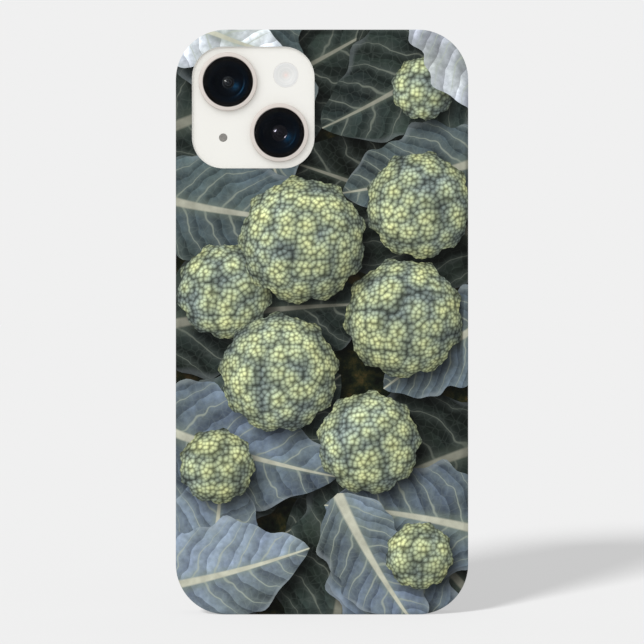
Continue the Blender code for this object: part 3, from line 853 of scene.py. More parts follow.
@dataclass
class PrintedFilm:
    """The printed skin of the case: its back, its rounded edge and its sides, as one thin sheet.

    The skin is laid out flat in millimetres from the middle of the back, cut along the design's
    outlines, and then folded round the case. Each face knows the motif that it belongs to.
    """

    box: Box
    corner: float
    edge: float
    lip_round: float
    holes: list[np.ndarray] = field(default_factory=list)
    thickness: float = 0.00008
    grid_mm: float = 1.5
    corner_steps: int = 20
    edge_steps: int = 5
    buried_mm: float = 0.8
    wall_rows: Triple = (0.2, 0.5, 0.8)
    wall_step_mm: float = 3.0
    light: Pair = (-2.0, 2.3)
    shadow_depth: float = 0.88
    shadow_blur_mm: float = 6.0

    def __post_init__(self) -> None:
        """Works out the flat part's size and how far the skin reaches past it."""
        self.half = np.array((self.box.size.x / 2 - self.edge, self.box.size.z / 2 - self.edge)) / MM
        self.flat_corner = (self.corner - self.edge) / MM
        self.round_mm = self.edge / MM
        self.arc_mm = self.round_mm * math.pi / 2
        back_to_lip = self.wall_front - (self.box_back + self.edge)
        self.reach_mm = self.arc_mm + back_to_lip / MM

    @property
    def box_back(self) -> float:
        """Y of the printed back."""
        return self.box.low.y

    @property
    def wall_front(self) -> float:
        """Y where the print ends, at the start of the lip's rounding."""
        return self.box.high.y - self.lip_round

    def ring(self, past: float) -> np.ndarray:
        """Gives an outline of the skin.

        Args:
            past: How far it lies past the flat part.

        Returns:
            Its points, in order.
        """
        corner = self.flat_corner + past
        core = self.half - self.flat_corner
        points = []
        for quarter, (sign_x, sign_z) in enumerate(QUADRANTS):
            turns = np.radians(90) * (quarter + np.arange(self.corner_steps + 1) / self.corner_steps)
            points.append(np.column_stack((sign_x * core[0] + corner * np.cos(turns),
                                           sign_z * core[1] + corner * np.sin(turns))))
        return np.vstack(points)

    def fold(self, points: np.ndarray) -> tuple[np.ndarray, np.ndarray]:
        """Folds points of the flat skin round the case.

        Args:
            points: X and Z on the flat skin, in millimetres.

        Returns:
            Their places in metres, and the skin's outward normals there.
        """
        core = np.clip(points, -(self.half - self.flat_corner), self.half - self.flat_corner)
        offset = points - core
        distance = np.maximum(np.linalg.norm(offset, axis=1), 1e-9)
        way = offset / distance[:, None]
        past = np.maximum(distance - self.flat_corner, 0.0)
        turn = np.minimum(past / self.round_mm, math.pi / 2)
        wall = np.maximum(past - self.arc_mm, 0.0)
        out = np.where(past > 0, self.flat_corner + self.round_mm * np.sin(turn), distance)
        flat = core + way * out[:, None]
        depth = self.round_mm * (1 - np.cos(turn)) + wall
        places = np.column_stack((
            self.box.middle.x + flat[:, 0] * MM,
            self.box_back + depth * MM,
            self.box.middle.z + flat[:, 1] * MM,
        ))
        normals = np.column_stack((way[:, 0] * np.sin(turn), -np.cos(turn), way[:, 1] * np.sin(turn)))
        return places, normals

    @staticmethod
    def inside(points: np.ndarray, loop: np.ndarray) -> np.ndarray:
        """Tells which points lie inside a closed loop.

        Args:
            points: The points.
            loop: The loop's points, in order.

        Returns:
            True for each point inside.
        """
        found = np.zeros(len(points), dtype=bool)
        for start, end in zip(loop, np.roll(loop, -1, axis=0)):
            if start[1] == end[1]:
                continue
            crosses = (start[1] > points[:, 1]) != (end[1] > points[:, 1])
            meets = start[0] + (points[:, 1] - start[1]) * (end[0] - start[0]) / (end[1] - start[1])
            found ^= crosses & (points[:, 0] < meets)
        return found

    @classmethod
    def distance(cls, points: np.ndarray, loop: np.ndarray) -> np.ndarray:
        """Gives each point's distance to a loop.

        Args:
            points: The points.
            loop: The loop's points, in order.

        Returns:
            The distances, negative inside.
        """
        best = np.full(len(points), np.inf)
        for start, end in zip(loop, np.roll(loop, -1, axis=0)):
            side = end - start
            share = np.clip((points - start) @ side / max(side @ side, 1e-12), 0.0, 1.0)
            best = np.minimum(best, np.linalg.norm(points - start - share[:, None] * side, axis=1))
        return np.where(cls.inside(points, loop), -best, best)

    def triangles(self) -> tuple[np.ndarray, np.ndarray]:
        """Cuts the flat skin along its folds, its openings and the design's outlines.

        Returns:
            The vertices on the flat skin, and the triangles between them.
        """
        points: list[np.ndarray] = []
        edges: list[tuple[int, int]] = []
        count = 0

        def take(loop: np.ndarray, keep: np.ndarray) -> None:
            """Adds a loop's points, and the edges that are kept.

            Args:
                loop: The points, in order.
                keep: Whether the edge after each point is kept.
            """
            nonlocal count
            size = len(loop)
            points.append(loop)
            edges.extend((count + i, count + (i + 1) % size) for i in range(size) if keep[i])
            count += size

        folds = [self.arc_mm * step / self.edge_steps for step in range(self.edge_steps + 1)]
        for loop in (*map(self.ring, (*folds, self.reach_mm)), *self.holes):
            take(loop, np.ones(len(loop), dtype=bool))
        outlines = [motif.outline() for motif in LAYOUT]
        for number, loop in enumerate(outlines):
            hidden = np.zeros(len(loop), dtype=bool)
            for upper in outlines[number + 1:]:
                deep = self.distance(loop, upper) < -self.buried_mm
                hidden |= deep & np.roll(deep, -1)
            take(loop, ~hidden)
        columns, rows = (np.arange(-half + 0.9, half - 0.5, self.grid_mm) for half in self.half)
        grid = np.array([(x + (index % 2) * self.grid_mm / 2, z) for index, z in enumerate(rows)
                         for x in columns])
        flat = self.inside(grid, self.ring(-0.6))
        points.append(grid[flat])
        for share in self.wall_rows:
            loop = self.ring(self.arc_mm + share * (self.reach_mm - self.arc_mm))
            for start, end in zip(loop, np.roll(loop, -1, axis=0)):
                steps = max(int(np.linalg.norm(end - start) / self.wall_step_mm), 1)
                points.append(np.linspace(start, end, steps, endpoint=False))
        everything = [Vector((float(x), float(z))) for x, z in np.vstack(points)]
        result = delaunay_2d_cdt(everything, edges, [], 0, 1e-5)
        found = np.array([(v.x, v.y) for v in result[0]])
        faces = np.array([tuple(f) for f in result[2] if len(f) == 3])
        middles = found[faces].mean(axis=1)
        keep = self.inside(middles, self.ring(self.reach_mm))
        for loop in self.holes:
            keep &= ~self.inside(middles, loop)
        return found, faces[keep]

    def build(self) -> bpy.types.Object:
        """Builds the film as one closed thin sheet with the design's values on its face corners.

        Returns:
            The film's object.
        """
        flat, faces = self.triangles()
        used, faces = np.unique(faces, return_inverse=True)
        flat = flat[used]
        faces = faces.reshape(-1, 3)
        corners = flat[faces]
        first = corners[:, 1] - corners[:, 0]
        second = corners[:, 2] - corners[:, 0]
        clockwise = first[:, 0] * second[:, 1] - first[:, 1] * second[:, 0] < 0
        faces[clockwise] = faces[clockwise][:, ::-1]
        places, normals = self.fold(flat)
        inner = places - normals * self.thickness
        size = len(places)
        outer_faces = faces.tolist()
        edges = [(a, b) for face in outer_faces for a, b in zip(face, face[1:] + face[:1])]
        known = set(edges)
        rim = [(b, a, a + size, b + size) for a, b in edges if (b, a) not in known]
        inner_faces = [[corner + size for corner in reversed(face)] for face in outer_faces]
        piece = mesh_object("printed_film", np.vstack((places, inner)), outer_faces + inner_faces + rim)
        soften(piece)
        self.mark(piece.data, flat, faces)
        return piece

    def mark(self, mesh: bpy.types.Mesh, flat: np.ndarray, faces: np.ndarray) -> None:
        """Writes each face corner's motif, place in it, and shade.

        Args:
            mesh: The film's mesh, whose first faces are the outer ones.
            flat: The outer vertices on the flat skin.
            faces: The outer faces.
        """
        middles = flat[faces].mean(axis=1)
        toward = flat + np.array(self.light)
        pattern, look, span = (np.zeros((len(faces), 3, 3)) for _ in FILM_VALUES)
        shade = np.ones((len(faces), 3))
        for motif in LAYOUT:
            loop = motif.outline()
            covered = self.inside(middles, loop)
            over = self.distance(toward, loop)[faces]
            near = np.clip(0.5 - over / self.shadow_blur_mm, 0.0, 1.0)
            dark = 1 - self.shadow_depth * near * near * (3 - 2 * near)
            shade = np.where(covered[:, None], 1.0, np.minimum(shade, dark))
            if covered.any():
                pattern[covered] = motif.pattern(flat[faces[covered]].reshape(-1, 2)).reshape(-1, 3, 3)
                look[covered, :, :2] = motif.tone, motif.motif.value
                span[covered, :, :2] = motif.span, motif.seed
        look[:, :, 2] = shade
        outer = len(faces) * 3
        for name, values in zip(FILM_VALUES, (pattern, look, span)):
            data = np.zeros((len(mesh.loops), 3))
            data[:outer] = values.reshape(-1, 3)
            data[outer:2 * outer] = values[:, ::-1].reshape(-1, 3)
            data[2 * outer:, 2] = 1.0
            mesh.attributes.new(name, "FLOAT_VECTOR", "CORNER").data.foreach_set("vector", data.ravel())


@dataclass(frozen=True)
class PrintedDesign:
    """The botanical print under a satin coat: leaves, seed heads and dark ground.

    The corner values say, in millimetres, where a point lies in its leaf or seed head. The seeds
    stand in clusters over a dome, and each one is lit from the upper left.
    """

    vein_count: float = 7.5
    vein_slope: float = 0.60
    seed_mm: float = 1.25
    cluster_mm: float = 5.5
    exposure: float = 0.90
    sheen: float = 0.06
    blades: Stops = (("181d17", 0.0), ("303934", 0.20), ("4a5555", 0.36), ("626c75", 0.52), ("808a93", 0.66),
                     ("aab1b7", 0.80), ("f4f5f7", 1.0))
    seeds: Stops = (("d0d69c", 0.05), ("c2cb9a", 0.28), ("b1bd98", 0.50), ("a1af99", 0.72), ("91a09a", 1.0))
    ground: Stops = (("060805", 0.35), ("131a0f", 0.47), ("2a2a15", 0.56), ("4d3f24", 0.70))

    def make(self) -> bpy.types.Material:
        """Builds the printed material."""
        coat = Coat("printed_film", {"Specular IOR Level": self.sheen})
        pattern, look, span = (coat.attribute(name) for name in FILM_VALUES)
        ground = coat.noise(4.0, 6.0, Roughness=0.7).ramp(self.ground)
        below = look[1].calc("GREATER_THAN", 0.5).mix(ground, self.leaf(coat, pattern, look[0], span[0]))
        top = look[1].calc("GREATER_THAN", 1.5).mix(below, self.seed_head(coat, pattern, span[1]))
        peel = coat.noise(0.4, 2.0)
        return coat.finish((look[2] * self.exposure).scale(top), peel.remap(0.3, 0.7, 0.40, 0.48),
                           peel.relief(0.0015, 0.5))

    def leaf(self, coat: Coat, pattern: Sequence[Signal], tone: Signal, length: Signal) -> Signal:
        """Colours a leaf: blade, bloom, quilting between the side veins, veins and midrib.

        Args:
            coat: The material in the making.
            pattern: The distances along and across the midrib, and the half width.
            tone: The blade's lightness.
            length: The leaf's length.

        Returns:
            The colour.
        """
        along, across, half = pattern
        aside, side = abs(across), across.calc("SIGN")
        share = aside / half
        # The side veins leave the midrib at even steps, lean forward, and turn up at the margin.
        sweep = aside * share * 0.35 + aside * self.vein_slope
        count = side * 0.22 + (along - sweep) / length * self.vein_count
        cell = (coat.noise(9.0, 2.0) * 1.3 + count).calc("FRACT")
        off = abs(cell - 0.5) * (length / self.vein_count)
        vein = off / share.remap(0.0, 1.0, 0.30, 0.05)
        rib = aside / (along / length).remap(0.0, 1.0, 1.35, 0.16)
        cracks = {"Vector": coat.place, "Scale": per_metre(2.0)}
        web = coat.place.feed("ShaderNodeTexVoronoi", cracks, feature="DISTANCE_TO_EDGE")
        # A bluish bloom lies on the blade, and its cells and halves catch the light unevenly.
        bloom = coat.cloud(15.0, 0.0, 1.0).mix((0.92, 0.98, 0.92, 1.0), (1.10, 1.16, 1.34, 1.0))
        light = (cell.remap(0.0, 1.0, 1.22, 0.66) * side.remap(-1.0, 1.0, 0.74, 1.14)
                 * coat.cloud(12.0, 0.50, 1.50) * coat.cloud(1.3, 0.82, 1.18))
        body = light.scale(tone.ramp(self.blades).vector("MULTIPLY", bloom))
        dim = tone.remap(0.0, 0.6, 0.30)
        layers = (
            (off.remap(2.4, 0.0, 0.0, 0.22) + web.remap(0.08, 0.0, 0.0, 0.13), "9aa79f", 1.0),
            (vein.remap(1.7, 0.5, 0.0, 0.55), "b4bcac", 1.0),
            (rib.remap(3.4, 1.0, 0.0, 0.40), "8f9c8c", 1.0),
            (rib.remap(1.25, 0.75), "cbccb9", coat.cloud(3.0, 0.80, 1.10)),
            (share.remap(0.93, 1.02, 0.0, 0.30), "a7b0b4", 1.0),
        )
        for factor, code, strength in layers:
            body = factor.mix(body, (dim * strength).scale(code))
        return body

    @staticmethod
    def bumps(place: Signal, size_mm: float) -> tuple[Signal, Signal]:
        """Adds packed round bumps.

        Args:
            place: The vector that they are laid out in.
            size_mm: The size of one bump.

        Returns:
            The distance from each one's middle, and how far it faces the light.
        """
        inputs = {"Vector": place, "Scale": 1 / size_mm, "Randomness": 0.85}
        cells = add(place.tree, "ShaderNodeTexVoronoi", inputs, voronoi_dimensions="2D")
        gap, middle = (Signal(place.tree, cells.outputs[name]) for name in ("Distance", "Position"))
        toward_light = (-0.6 / size_mm, 0.8 / size_mm, 0.0)
        return gap, place.vector("SUBTRACT", middle).vector("DOT_PRODUCT", toward_light, output=1)

    def seed_head(self, coat: Coat, pattern: Sequence[Signal], seed: Signal) -> Signal:
        """Colours a seed head: clusters of small seeds over a dome, sage green, bluer between them.

        Args:
            coat: The material in the making.
            pattern: Both distances from the middle, and the radius.
            seed: The head's seed.

        Returns:
            The colour.
        """
        right, up, size = pattern
        offset = right.feed("ShaderNodeCombineXYZ", {0: right, 1: up})
        share = offset.length() / size
        # The seeds are laid out as on a dome seen from above, closer together towards its rim.
        kept = share.remap(0.0, 1.06, 0.02, 0.98)
        moved = seed * 41.0
        skin = (kept.calc("ARCSINE") / kept).scale(offset).vector(
            "ADD", seed.feed("ShaderNodeCombineXYZ", {0: moved, 1: moved}))
        seed_gap, seed_lit = self.bumps(skin, self.seed_mm)
        lump_gap, lump_lit = self.bumps(skin, self.cluster_mm)
        light = ((up - right) / size).remap(-1.3, 1.3, 0.66, 1.30)
        for shade in (
            seed_gap.remap(0.66, 0.12, 0.34, 1.12),
            seed_lit.remap(-0.5, 0.5, 0.70, 1.34),
            lump_gap.remap(0.72, 0.25, 0.66, 1.18),
            lump_lit.remap(-0.5, 0.5, 0.76, 1.24),
            share.remap(0.72, 1.04, 1.0, 0.42),
            coat.cloud(9.0, 0.86, 1.22),
        ):
            light = light * shade
        ripe = lump_gap * 0.9 + coat.cloud(8.0, -0.05, 0.45)
        return light.scale(ripe.ramp(self.seeds))


@dataclass
class Case:
    """The hard case: a moulded shell with a lip round the screen, and its printed film."""

    corner: float = 0.0129
    wall: float = 0.00155
    edge: float = 0.0009
    edge_steps: int = 8
    lip_inset: float = 0.0028
    lip_round: float = 0.0007
    lip_thickness: float = 0.0006
    floor: float = 0.0015
    chamfer: float = 0.00015
    cut_past: float = 0.001
    key_window_half: float = 0.0026
    keys: tuple[tuple[str, int, str, str, float], ...] = (
        ("side_key", -1, "side_button", "side_button", 0.0020),
        ("volume_key", 1, "volume_down_button", "volume_up_button", 0.0020),
        ("ring_switch", 1, "ring_switch", "ring_switch", 0.00125),
    )
    port: Pair = (0.0063, 0.0027)
    sound: Pair = (0.0053, 0.0013)

    def __post_init__(self) -> None:
        """Reads the case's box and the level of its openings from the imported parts."""
        self.box = Box.of("case_shell")
        self.core = Box.of("frame").middle.y
        self.outline = self.box.outline(Axis.Y, self.corner, 24)

    def openings(self) -> list[tuple[str, Outline, float, int]]:
        """Gives each side or lower opening, placed round what it serves.

        Returns:
            Its name, its outline, its level on the outside of the case, and which way is out.
        """
        found = []
        half = self.key_window_half
        for name, sign, lowest, highest, past in self.keys:
            foot, top = Box.of(lowest).low.z, Box.of(highest).high.z
            outline = Outline(Axis.X, half, (top - foot) / 2 + past, half, self.core, (top + foot) / 2, 10)
            found.append((name, outline, sign * self.box.size.x / 2, sign))
        foots = [("port", self.port, 0.0, 10)]
        foots += [(f"sound_{side}", self.sound, Box.of(f"sound_mesh_{side}").middle.x, 8)
                  for side in ("left", "right")]
        for name, (wide, deep), x, steps in foots:
            found.append((name, Outline(Axis.Z, wide, deep, deep, x, self.core, steps), self.box.low.z, -1))
        return found

    def unrolled(self, film: PrintedFilm, loop: Sequence[Vector]) -> np.ndarray:
        """Lays a loop on the case's side out flat.

        Args:
            film: The film that the loop cuts.
            loop: Points on the outside of the case.

        Returns:
            The points on the flat skin, in millimetres.
        """
        flat = []
        middle = self.box.middle
        for point in loop:
            past = film.arc_mm + (point.y - film.box_back - film.edge) / MM
            x, z = (point.x - middle.x) / MM, (point.z - middle.z) / MM
            if abs(abs(x) - self.box.size.x / 2 / MM) < abs(abs(z) - self.box.size.z / 2 / MM):
                flat.append((math.copysign(film.half[0] + past, x), z))
            else:
                flat.append((x, math.copysign(film.half[1] + past, z)))
        return np.array(flat)

    def build(self) -> None:
        """Builds and dresses the shell and its film."""
        film = PrintedFilm(self.box, self.corner, self.edge, self.lip_round)
        film.holes.append(np.array([(p.x, p.z - self.box.middle.z) for p in CAMERA_WINDOW.at(0.0, 0.0)]) / MM)
        film.holes += [self.unrolled(film, outline.at(-self.chamfer, face))
                       for _, outline, face, _ in self.openings()]
        dress(film.build(), PrintedDesign().make())
        dress(self.shell(film.thickness), POLYCARBONATE.make(), ["case_shell"])

    def shell(self, film: float) -> bpy.types.Object:
        """Builds the moulded shell, one film thinner where the print lies.

        Args:
            film: The film's thickness.

        Returns:
            The shell, with its openings.
        """
        low, high = self.box.low.y, self.box.high.y
        lip_under = high - self.lip_thickness
        half_lip = self.lip_round / 2
        turns = [QUARTER * step / self.edge_steps for step in range(self.edge_steps + 1)]
        back_edge = [(inset + film * math.sin(turn), level + film * math.cos(turn)) for turn, (inset, level)
                     in zip(turns, quarter_round(0.0, low, self.edge, 1, self.edge_steps))]
        shell = profile_loft("case_shell_body", self.outline, [
            (self.wall, low + self.floor),
            (self.wall, lip_under),
            (self.lip_inset, lip_under),
            (self.lip_inset, high - half_lip),
            (self.lip_inset - half_lip * 0.3, high - half_lip * 0.3),
            (self.lip_inset - half_lip, high),
            *quarter_round(0.0, high, self.lip_round, -1, 6),
            (film, high - self.lip_round),
            *reversed(back_edge),
        ])
        chamfer, past = self.chamfer, self.cut_past
        levels = [(-past, low - past), (chamfer, low + chamfer), (chamfer, low + self.floor + past)]
        cutters = [profile_loft("camera_window_cutter", CAMERA_WINDOW, levels)]
        cutters += [self.cutter(*opening) for opening in self.openings()]
        return combine(shell, cutters, "DIFFERENCE")

    def cutter(self, name: str, outline: Outline, face: float, sign: int) -> bpy.types.Object:
        """Builds the cutter of a side or lower opening, flared at the outer face.

        Args:
            name: The opening's name.
            outline: Its outline.
            face: Its level on the outside of the case.
            sign: Which way is out.

        Returns:
            The cutter.
        """
        chamfer, out = self.chamfer, self.cut_past
        return profile_loft(f"{name}_cutter", outline, [
            (-chamfer - out, face + sign * out),
            (-chamfer, face),
            (0.0, face - sign * chamfer),
            (0.0, face - sign * (self.wall + 0.0002)),
        ])


@dataclass(frozen=True)
class Lens:
    """What tells one camera's glass from the other's, as radii about its axis.

    bowl and dome are radii of curvature. hollow gives the curvature, the middle and the crest of
    the polished bevel that some elements have round their dome.
    """

    name: str
    element: float
    bowl: float
    dome: float
    dome_edge: float
    line: str
    mirror: str
    ior: float
    hollow: Triple | None = None

    def curve(self, base: float, steps: int = 24) -> list[Pair]:
        """Gives the (radius, level) pairs of the element's front, from its rim inwards.

        Args:
            base: The level of the dome's edge.
            steps: Segments of the dome.

        Returns:
            The pairs.
        """
        pairs = [(self.element, base)]
        if self.hollow:
            bend, middle, crest = self.hollow
            foot = base - math.sqrt(bend ** 2 - (self.dome_edge - middle) ** 2)
            outs = [self.dome_edge + (crest - self.dome_edge) * (1 - step / 8) for step in range(9)]
            pairs = [(out, foot + math.sqrt(bend ** 2 - (out - middle) ** 2)) for out in outs]
            pairs.insert(0, (self.element, pairs[0][1]))
        drop = math.sqrt(self.dome ** 2 - self.dome_edge ** 2)
        outs = [self.dome_edge * (1 - step / steps) for step in range(1, steps)]
        return pairs + [(out, base - math.sqrt(self.dome ** 2 - out ** 2) + drop) for out in outs]


@dataclass
class CameraCorner:
    """The back glass with its raised plateau, and all that is set in it."""

    sheet_corner: float = 0.0103
    sheet_round: float = 0.0002
    plateau_gap: float = 0.00005
    plateau_round: float = 0.00004
    mouth: float = 0.0065
    hole: float = 0.0068
    bore: float = 0.0056
    barrel: float = 0.0055
    barrel_rim: float = 0.0040
    mask_width: float = 0.00110
    lenses: tuple[Lens, ...] = (
        # The upper lens's line colour, a lighter grey, is painted reflection: concentric ring reflections
        # laid into its front element's colour.
        Lens("upper", 0.00158, 0.0068, 0.0027, 0.00158, "1e2124", "ffffff", 1.15),
        Lens("lower", 0.00208, 0.0074, 0.0039, 0.0017, "060608", "e2dff2", 1.18, (0.0010, 0.001425, 0.0020)),
    )

    def __post_init__(self) -> None:
        """Reads the boxes of the glass and of what is set in it."""
        self.glass = Box.of("back_glass")
        self.rings = {lens.name: Box.of(f"lens_ring_{lens.name}") for lens in self.lenses}
        self.flash = Box.of("flash_lens")
        self.microphone = Box.of("rear_microphone_mesh")

    def build(self) -> None:
        """Builds and dresses the glass, the cameras, the flash and the microphone."""
        dress(self.back_glass(), WHITE_GLASS.make(), ["back_glass"])
        metal = ALUMINIUM.make()
        cover = CoatedGlass().make()
        for lens in self.lenses:
            self.mount(lens, metal, cover)
            self.optics(lens)
        self.flash_lens()
        weave = WireScreen("rear_microphone_weave", self.microphone, Axis.Y, 0.00020, 0.00006, True)
        dress(weave.build(), WIRE.make(), ["rear_microphone_mesh"])

    def back_glass(self) -> bpy.types.Object:
        """Builds the sheet and its plateau as one, with the holes for what it carries."""
        box = self.glass
        back, gap = Box.of("frame").low.y - 0.0003, self.plateau_gap
        edge = quarter_round(0.0, back, self.sheet_round, 1, 3)
        sheet = profile_loft("back_glass_sheet", box.outline(Axis.Y, self.sheet_corner, 16),
                             [*edge, (0.0, box.high.y)])
        edge = quarter_round(gap, box.low.y, self.plateau_round, 1, 7)
        plateau = profile_loft("camera_plateau", CAMERA_WINDOW, [*edge, (gap, back + 0.0003)])
        combine(sheet, [plateau], "UNION")
        past, flare, deep = 0.001, 0.00005, 0.0001
        levels = ((-past - flare, box.low.y - past), (flare, box.low.y + deep), (flare, box.high.y + past))
        holes = [(ring, self.hole) for ring in self.rings.values()]
        holes += [(piece, piece.size.x / 2 + play)
                  for piece, play in ((self.flash, 0.00002), (self.microphone, 0.0001))]
        cutters = [profile_loft("hole", circle(Axis.Y, radius, place.middle.x, place.middle.z), levels)
                   for place, radius in holes]
        return combine(sheet, cutters, "DIFFERENCE")

    def disc(self, lens: Lens, name: str, radius: float, profile: Iterable[Pair], closed: bool = False,
             steps: int = 24) -> bpy.types.Object:
        """Turns a profile about a camera's axis.

        Args:
            lens: The camera.
            name: The piece's name.
            radius: The radius that the profile's insets are taken from.
            profile: The (inset, level) pairs.
            closed: Whether the profile closes on itself.
            steps: Segments of a quarter turn.

        Returns:
            The piece.
        """
        middle = self.rings[lens.name].middle
        return profile_loft(name, circle(Axis.Y, radius, middle.x, middle.z, steps), profile, closed)

    def mount(self, lens: Lens, metal: bpy.types.Material, cover: bpy.types.Material) -> None:
        """Builds a camera's ring, its cover glass and the black mask under that glass.

        Args:
            lens: The camera.
            metal: The ring's finish.
            cover: The cover glass's finish.
        """
        ring = self.rings[lens.name]
        face, radius = ring.low.y, ring.size.x / 2
        seat, shoulder = face + 0.0008, self.glass.low.y + 0.0001
        turned = self.disc(lens, f"lens_ring_{lens.name}_turned", radius, [
            (0.0, shoulder),
            *reversed(quarter_round(0.0, face, 0.00013, 1, 6)),
            (radius - self.mouth - 0.00002, face),
            (radius - self.mouth, face + 0.00002),
            (radius - self.mouth, seat),
            (radius - self.bore, seat),
            (radius - self.bore, ring.high.y),
            (radius - 0.00675, ring.high.y),
            (radius - 0.00675, shoulder),
        ], closed=True)
        dress(turned, metal, [f"lens_ring_{lens.name}"])
        edge = quarter_round(0.0, face + 0.00016, 0.00008, 1, 3)
        glass = self.disc(lens, f"lens_cover_{lens.name}_glass", self.mouth - 0.00008,
                          [*edge, (0.0, face + 0.0007)])
        dress(glass, cover, [f"lens_cover_{lens.name}"])
        front, back, width = face + 0.00072, face + 0.00078, self.mask_width
        mask = self.disc(lens, f"lens_mask_{lens.name}", self.mouth - 0.00006,
                         [(0.0, front), (0.0, back), (width, back), (width, front)], closed=True)
        self.coat(lens, mask, "mask", "060505", "0a0808", "ffffff", 1.12, 0.35, slot="black_plastic")

    def coat(self, lens: Lens, piece: bpy.types.Object, part: str, *look: Any, slot: str,
             nodes: Sequence[str] = ()) -> None:
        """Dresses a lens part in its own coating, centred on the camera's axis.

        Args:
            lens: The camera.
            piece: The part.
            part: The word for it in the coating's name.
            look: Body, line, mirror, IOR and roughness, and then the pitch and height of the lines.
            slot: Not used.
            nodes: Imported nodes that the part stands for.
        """
        middle = self.rings[lens.name].middle
        coating = LensCoating(f"{part}_coating_{lens.name}", *look[:5], (middle.x, middle.z), *look[5:])
        dress(piece, coating.make(), nodes)

    def optics(self, lens: Lens) -> None:
        """Builds the bowl of a camera's barrel and the front element at its bottom.

        Args:
            lens: The camera.
        """
        ring = self.rings[lens.name]
        front = ring.low.y + 0.00090
        shelf = front + 0.00013
        outer, rim, eye = self.barrel, self.barrel_rim, lens.element + 0.00002
        profile = [(0.0, ring.high.y), (0.0, front), (outer - rim - 0.0006, front + 0.00010)]
        profile.append((outer - rim, shelf))
        rim_depth = math.sqrt(lens.bowl ** 2 - rim ** 2)
        for step in range(1, 15):
            radius = rim - (rim - eye) * step / 14
            profile.append((outer - radius, shelf + math.sqrt(lens.bowl ** 2 - radius ** 2) - rim_depth))
        floor = profile[-1][1] + 0.0003
        profile.append((outer - eye, floor))
        barrel = self.disc(lens, f"lens_barrel_{lens.name}_turned", outer, profile)
        self.coat(lens, barrel, "barrel", "010102", "020303", "1f8fd0", 1.10, 0.30, 0.6, slot="black_plastic",
                  nodes=[f"lens_barrel_{lens.name}"])
        curve = [(lens.element - radius, level) for radius, level in lens.curve(floor - 0.00012)]
        dome = self.disc(lens, f"lens_element_{lens.name}_dome", lens.element, [(0.0, floor), *curve],
                         steps=16)
        # On the upper element, lens.line paints concentric ring reflections as lighter grey lines in the base
        # colour.
        self.coat(lens, dome, "element", "020203", lens.line, lens.mirror, lens.ior, 0.10, 0.65, 0.0003,
                  slot="lens_glass", nodes=[f"lens_element_{lens.name}"])

    def flash_lens(self) -> None:
        """Builds the flash's low dome with its moulded rings."""
        box = self.flash
        radius = box.size.x / 2
        rim = box.low.y + 0.00004
        dish = min(0.00035, box.size.y * 0.4)
        profile = [(0.0, box.high.y), (0.0, rim)]
        for share in (step / 20 for step in range(1, 20)):
            bowl = dish * (0.5 + 0.5 * math.cos(math.pi * min(1.0, (1 - share) / 0.92)))
            ripple = 0.000006 * math.cos(share * math.tau * 4)
            profile.append((radius * share, rim + bowl + ripple))
        centre = (box.middle.x, box.middle.z)
        lens = profile_loft("flash_lens_moulded", circle(Axis.Y, radius, *centre, 20), profile)
        dress(lens, FlashDiffuser(centre, radius).make(), ["flash_lens"])


class GeometryTree:
    """A Geometry Nodes tree with named inputs, which ends in one plain mesh."""

    def __init__(self, name: str, inputs: dict[str, Any]) -> None:
        """Makes the tree and its inputs.

        Args:
            name: The tree's name, and that of the piece it makes.
            inputs: Input name to its value, which is a whole number, a length or a vector.
        """
        self.name = name
        self.tree = bpy.data.node_groups.new(name, "GeometryNodeTree")
        self.values = {}
        kinds = {int: "NodeSocketInt", float: "NodeSocketFloat", tuple: "NodeSocketVector"}
        for title, value in inputs.items():
            socket = self.tree.interface.new_socket(title, in_out="INPUT", socket_type=kinds[type(value)])
            self.values[socket.identifier] = value
        self.tree.interface.new_socket("Geometry", in_out="OUTPUT", socket_type="NodeSocketGeometry")
        self.given = self.add("NodeGroupInput")

    def read(self, *titles: str) -> Any:
        """Gives the signal of a named input, or a list of them."""
        signals = [Signal(self.tree, self.given.outputs[title]) for title in titles]
        return signals if len(signals) > 1 else signals[0]

    def add(self, kind: str, inputs: dict[Any, Any] | None = None, **settings: Any) -> Any:
        """Adds a node to this tree."""
        return add(self.tree, kind, inputs, **settings)

    def row(self, number: Signal, pitch: Signal, axis: int) -> Any:
        """Adds a centred row of points.

        Args:
            number: How many points.
            pitch: The distance between two of them.
            axis: 0 for a row along X, 1 for one along Y.

        Returns:
            The row's node.
        """
        begin = self.add("ShaderNodeCombineXYZ", {axis: (number - 1.0) * -0.5 * pitch})
        step = self.add("ShaderNodeCombineXYZ", {axis: pitch})
        return self.add("GeometryNodeMeshLine", {"Count": number, "Start Location": begin, "Offset": step},
                        mode="OFFSET")

    def put(self, points: Any, shape: Any, **turned: Any) -> Any:
        """Sets a copy of a shape on each point, with a Scale or Rotation, and gives the node."""
        return self.add("GeometryNodeInstanceOnPoints", {"Points": points, "Instance": shape, **turned})

    def move(self, shape: Any, turn: Triple, place: Any = (0.0, 0.0, 0.0)) -> Any:
        """Turns and moves a shape, and gives the node."""
        return self.add("GeometryNodeTransform", {"Geometry": shape, "Rotation": turn, "Translation": place})

    def build(self, shape: Any, place: Any, turn: Triple = (QUARTER, 0.0, 0.0)) -> bpy.types.Object:
        """Ends the tree after a shape and turns its result into a plain mesh object.

        Args:
            shape: The node that holds the instances or the mesh.
            place: Where its origin goes.
            turn: Its turn, which by default stands its Z along the phone's depth.

        Returns:
            The object, with no modifier left.
        """
        real = self.add("GeometryNodeRealizeInstances", {"Geometry": self.move(shape, turn, place)})
        coated = self.add("GeometryNodeSetMaterial", {"Geometry": real})
        self.add("NodeGroupOutput", {0: coated})
        piece = mesh_object(self.name, [], [])
        modifier = piece.modifiers.new("build", "NODES")
        modifier.node_group = self.tree
        for identifier, value in self.values.items():
            modifier[identifier] = value
        return soften(plain(piece))


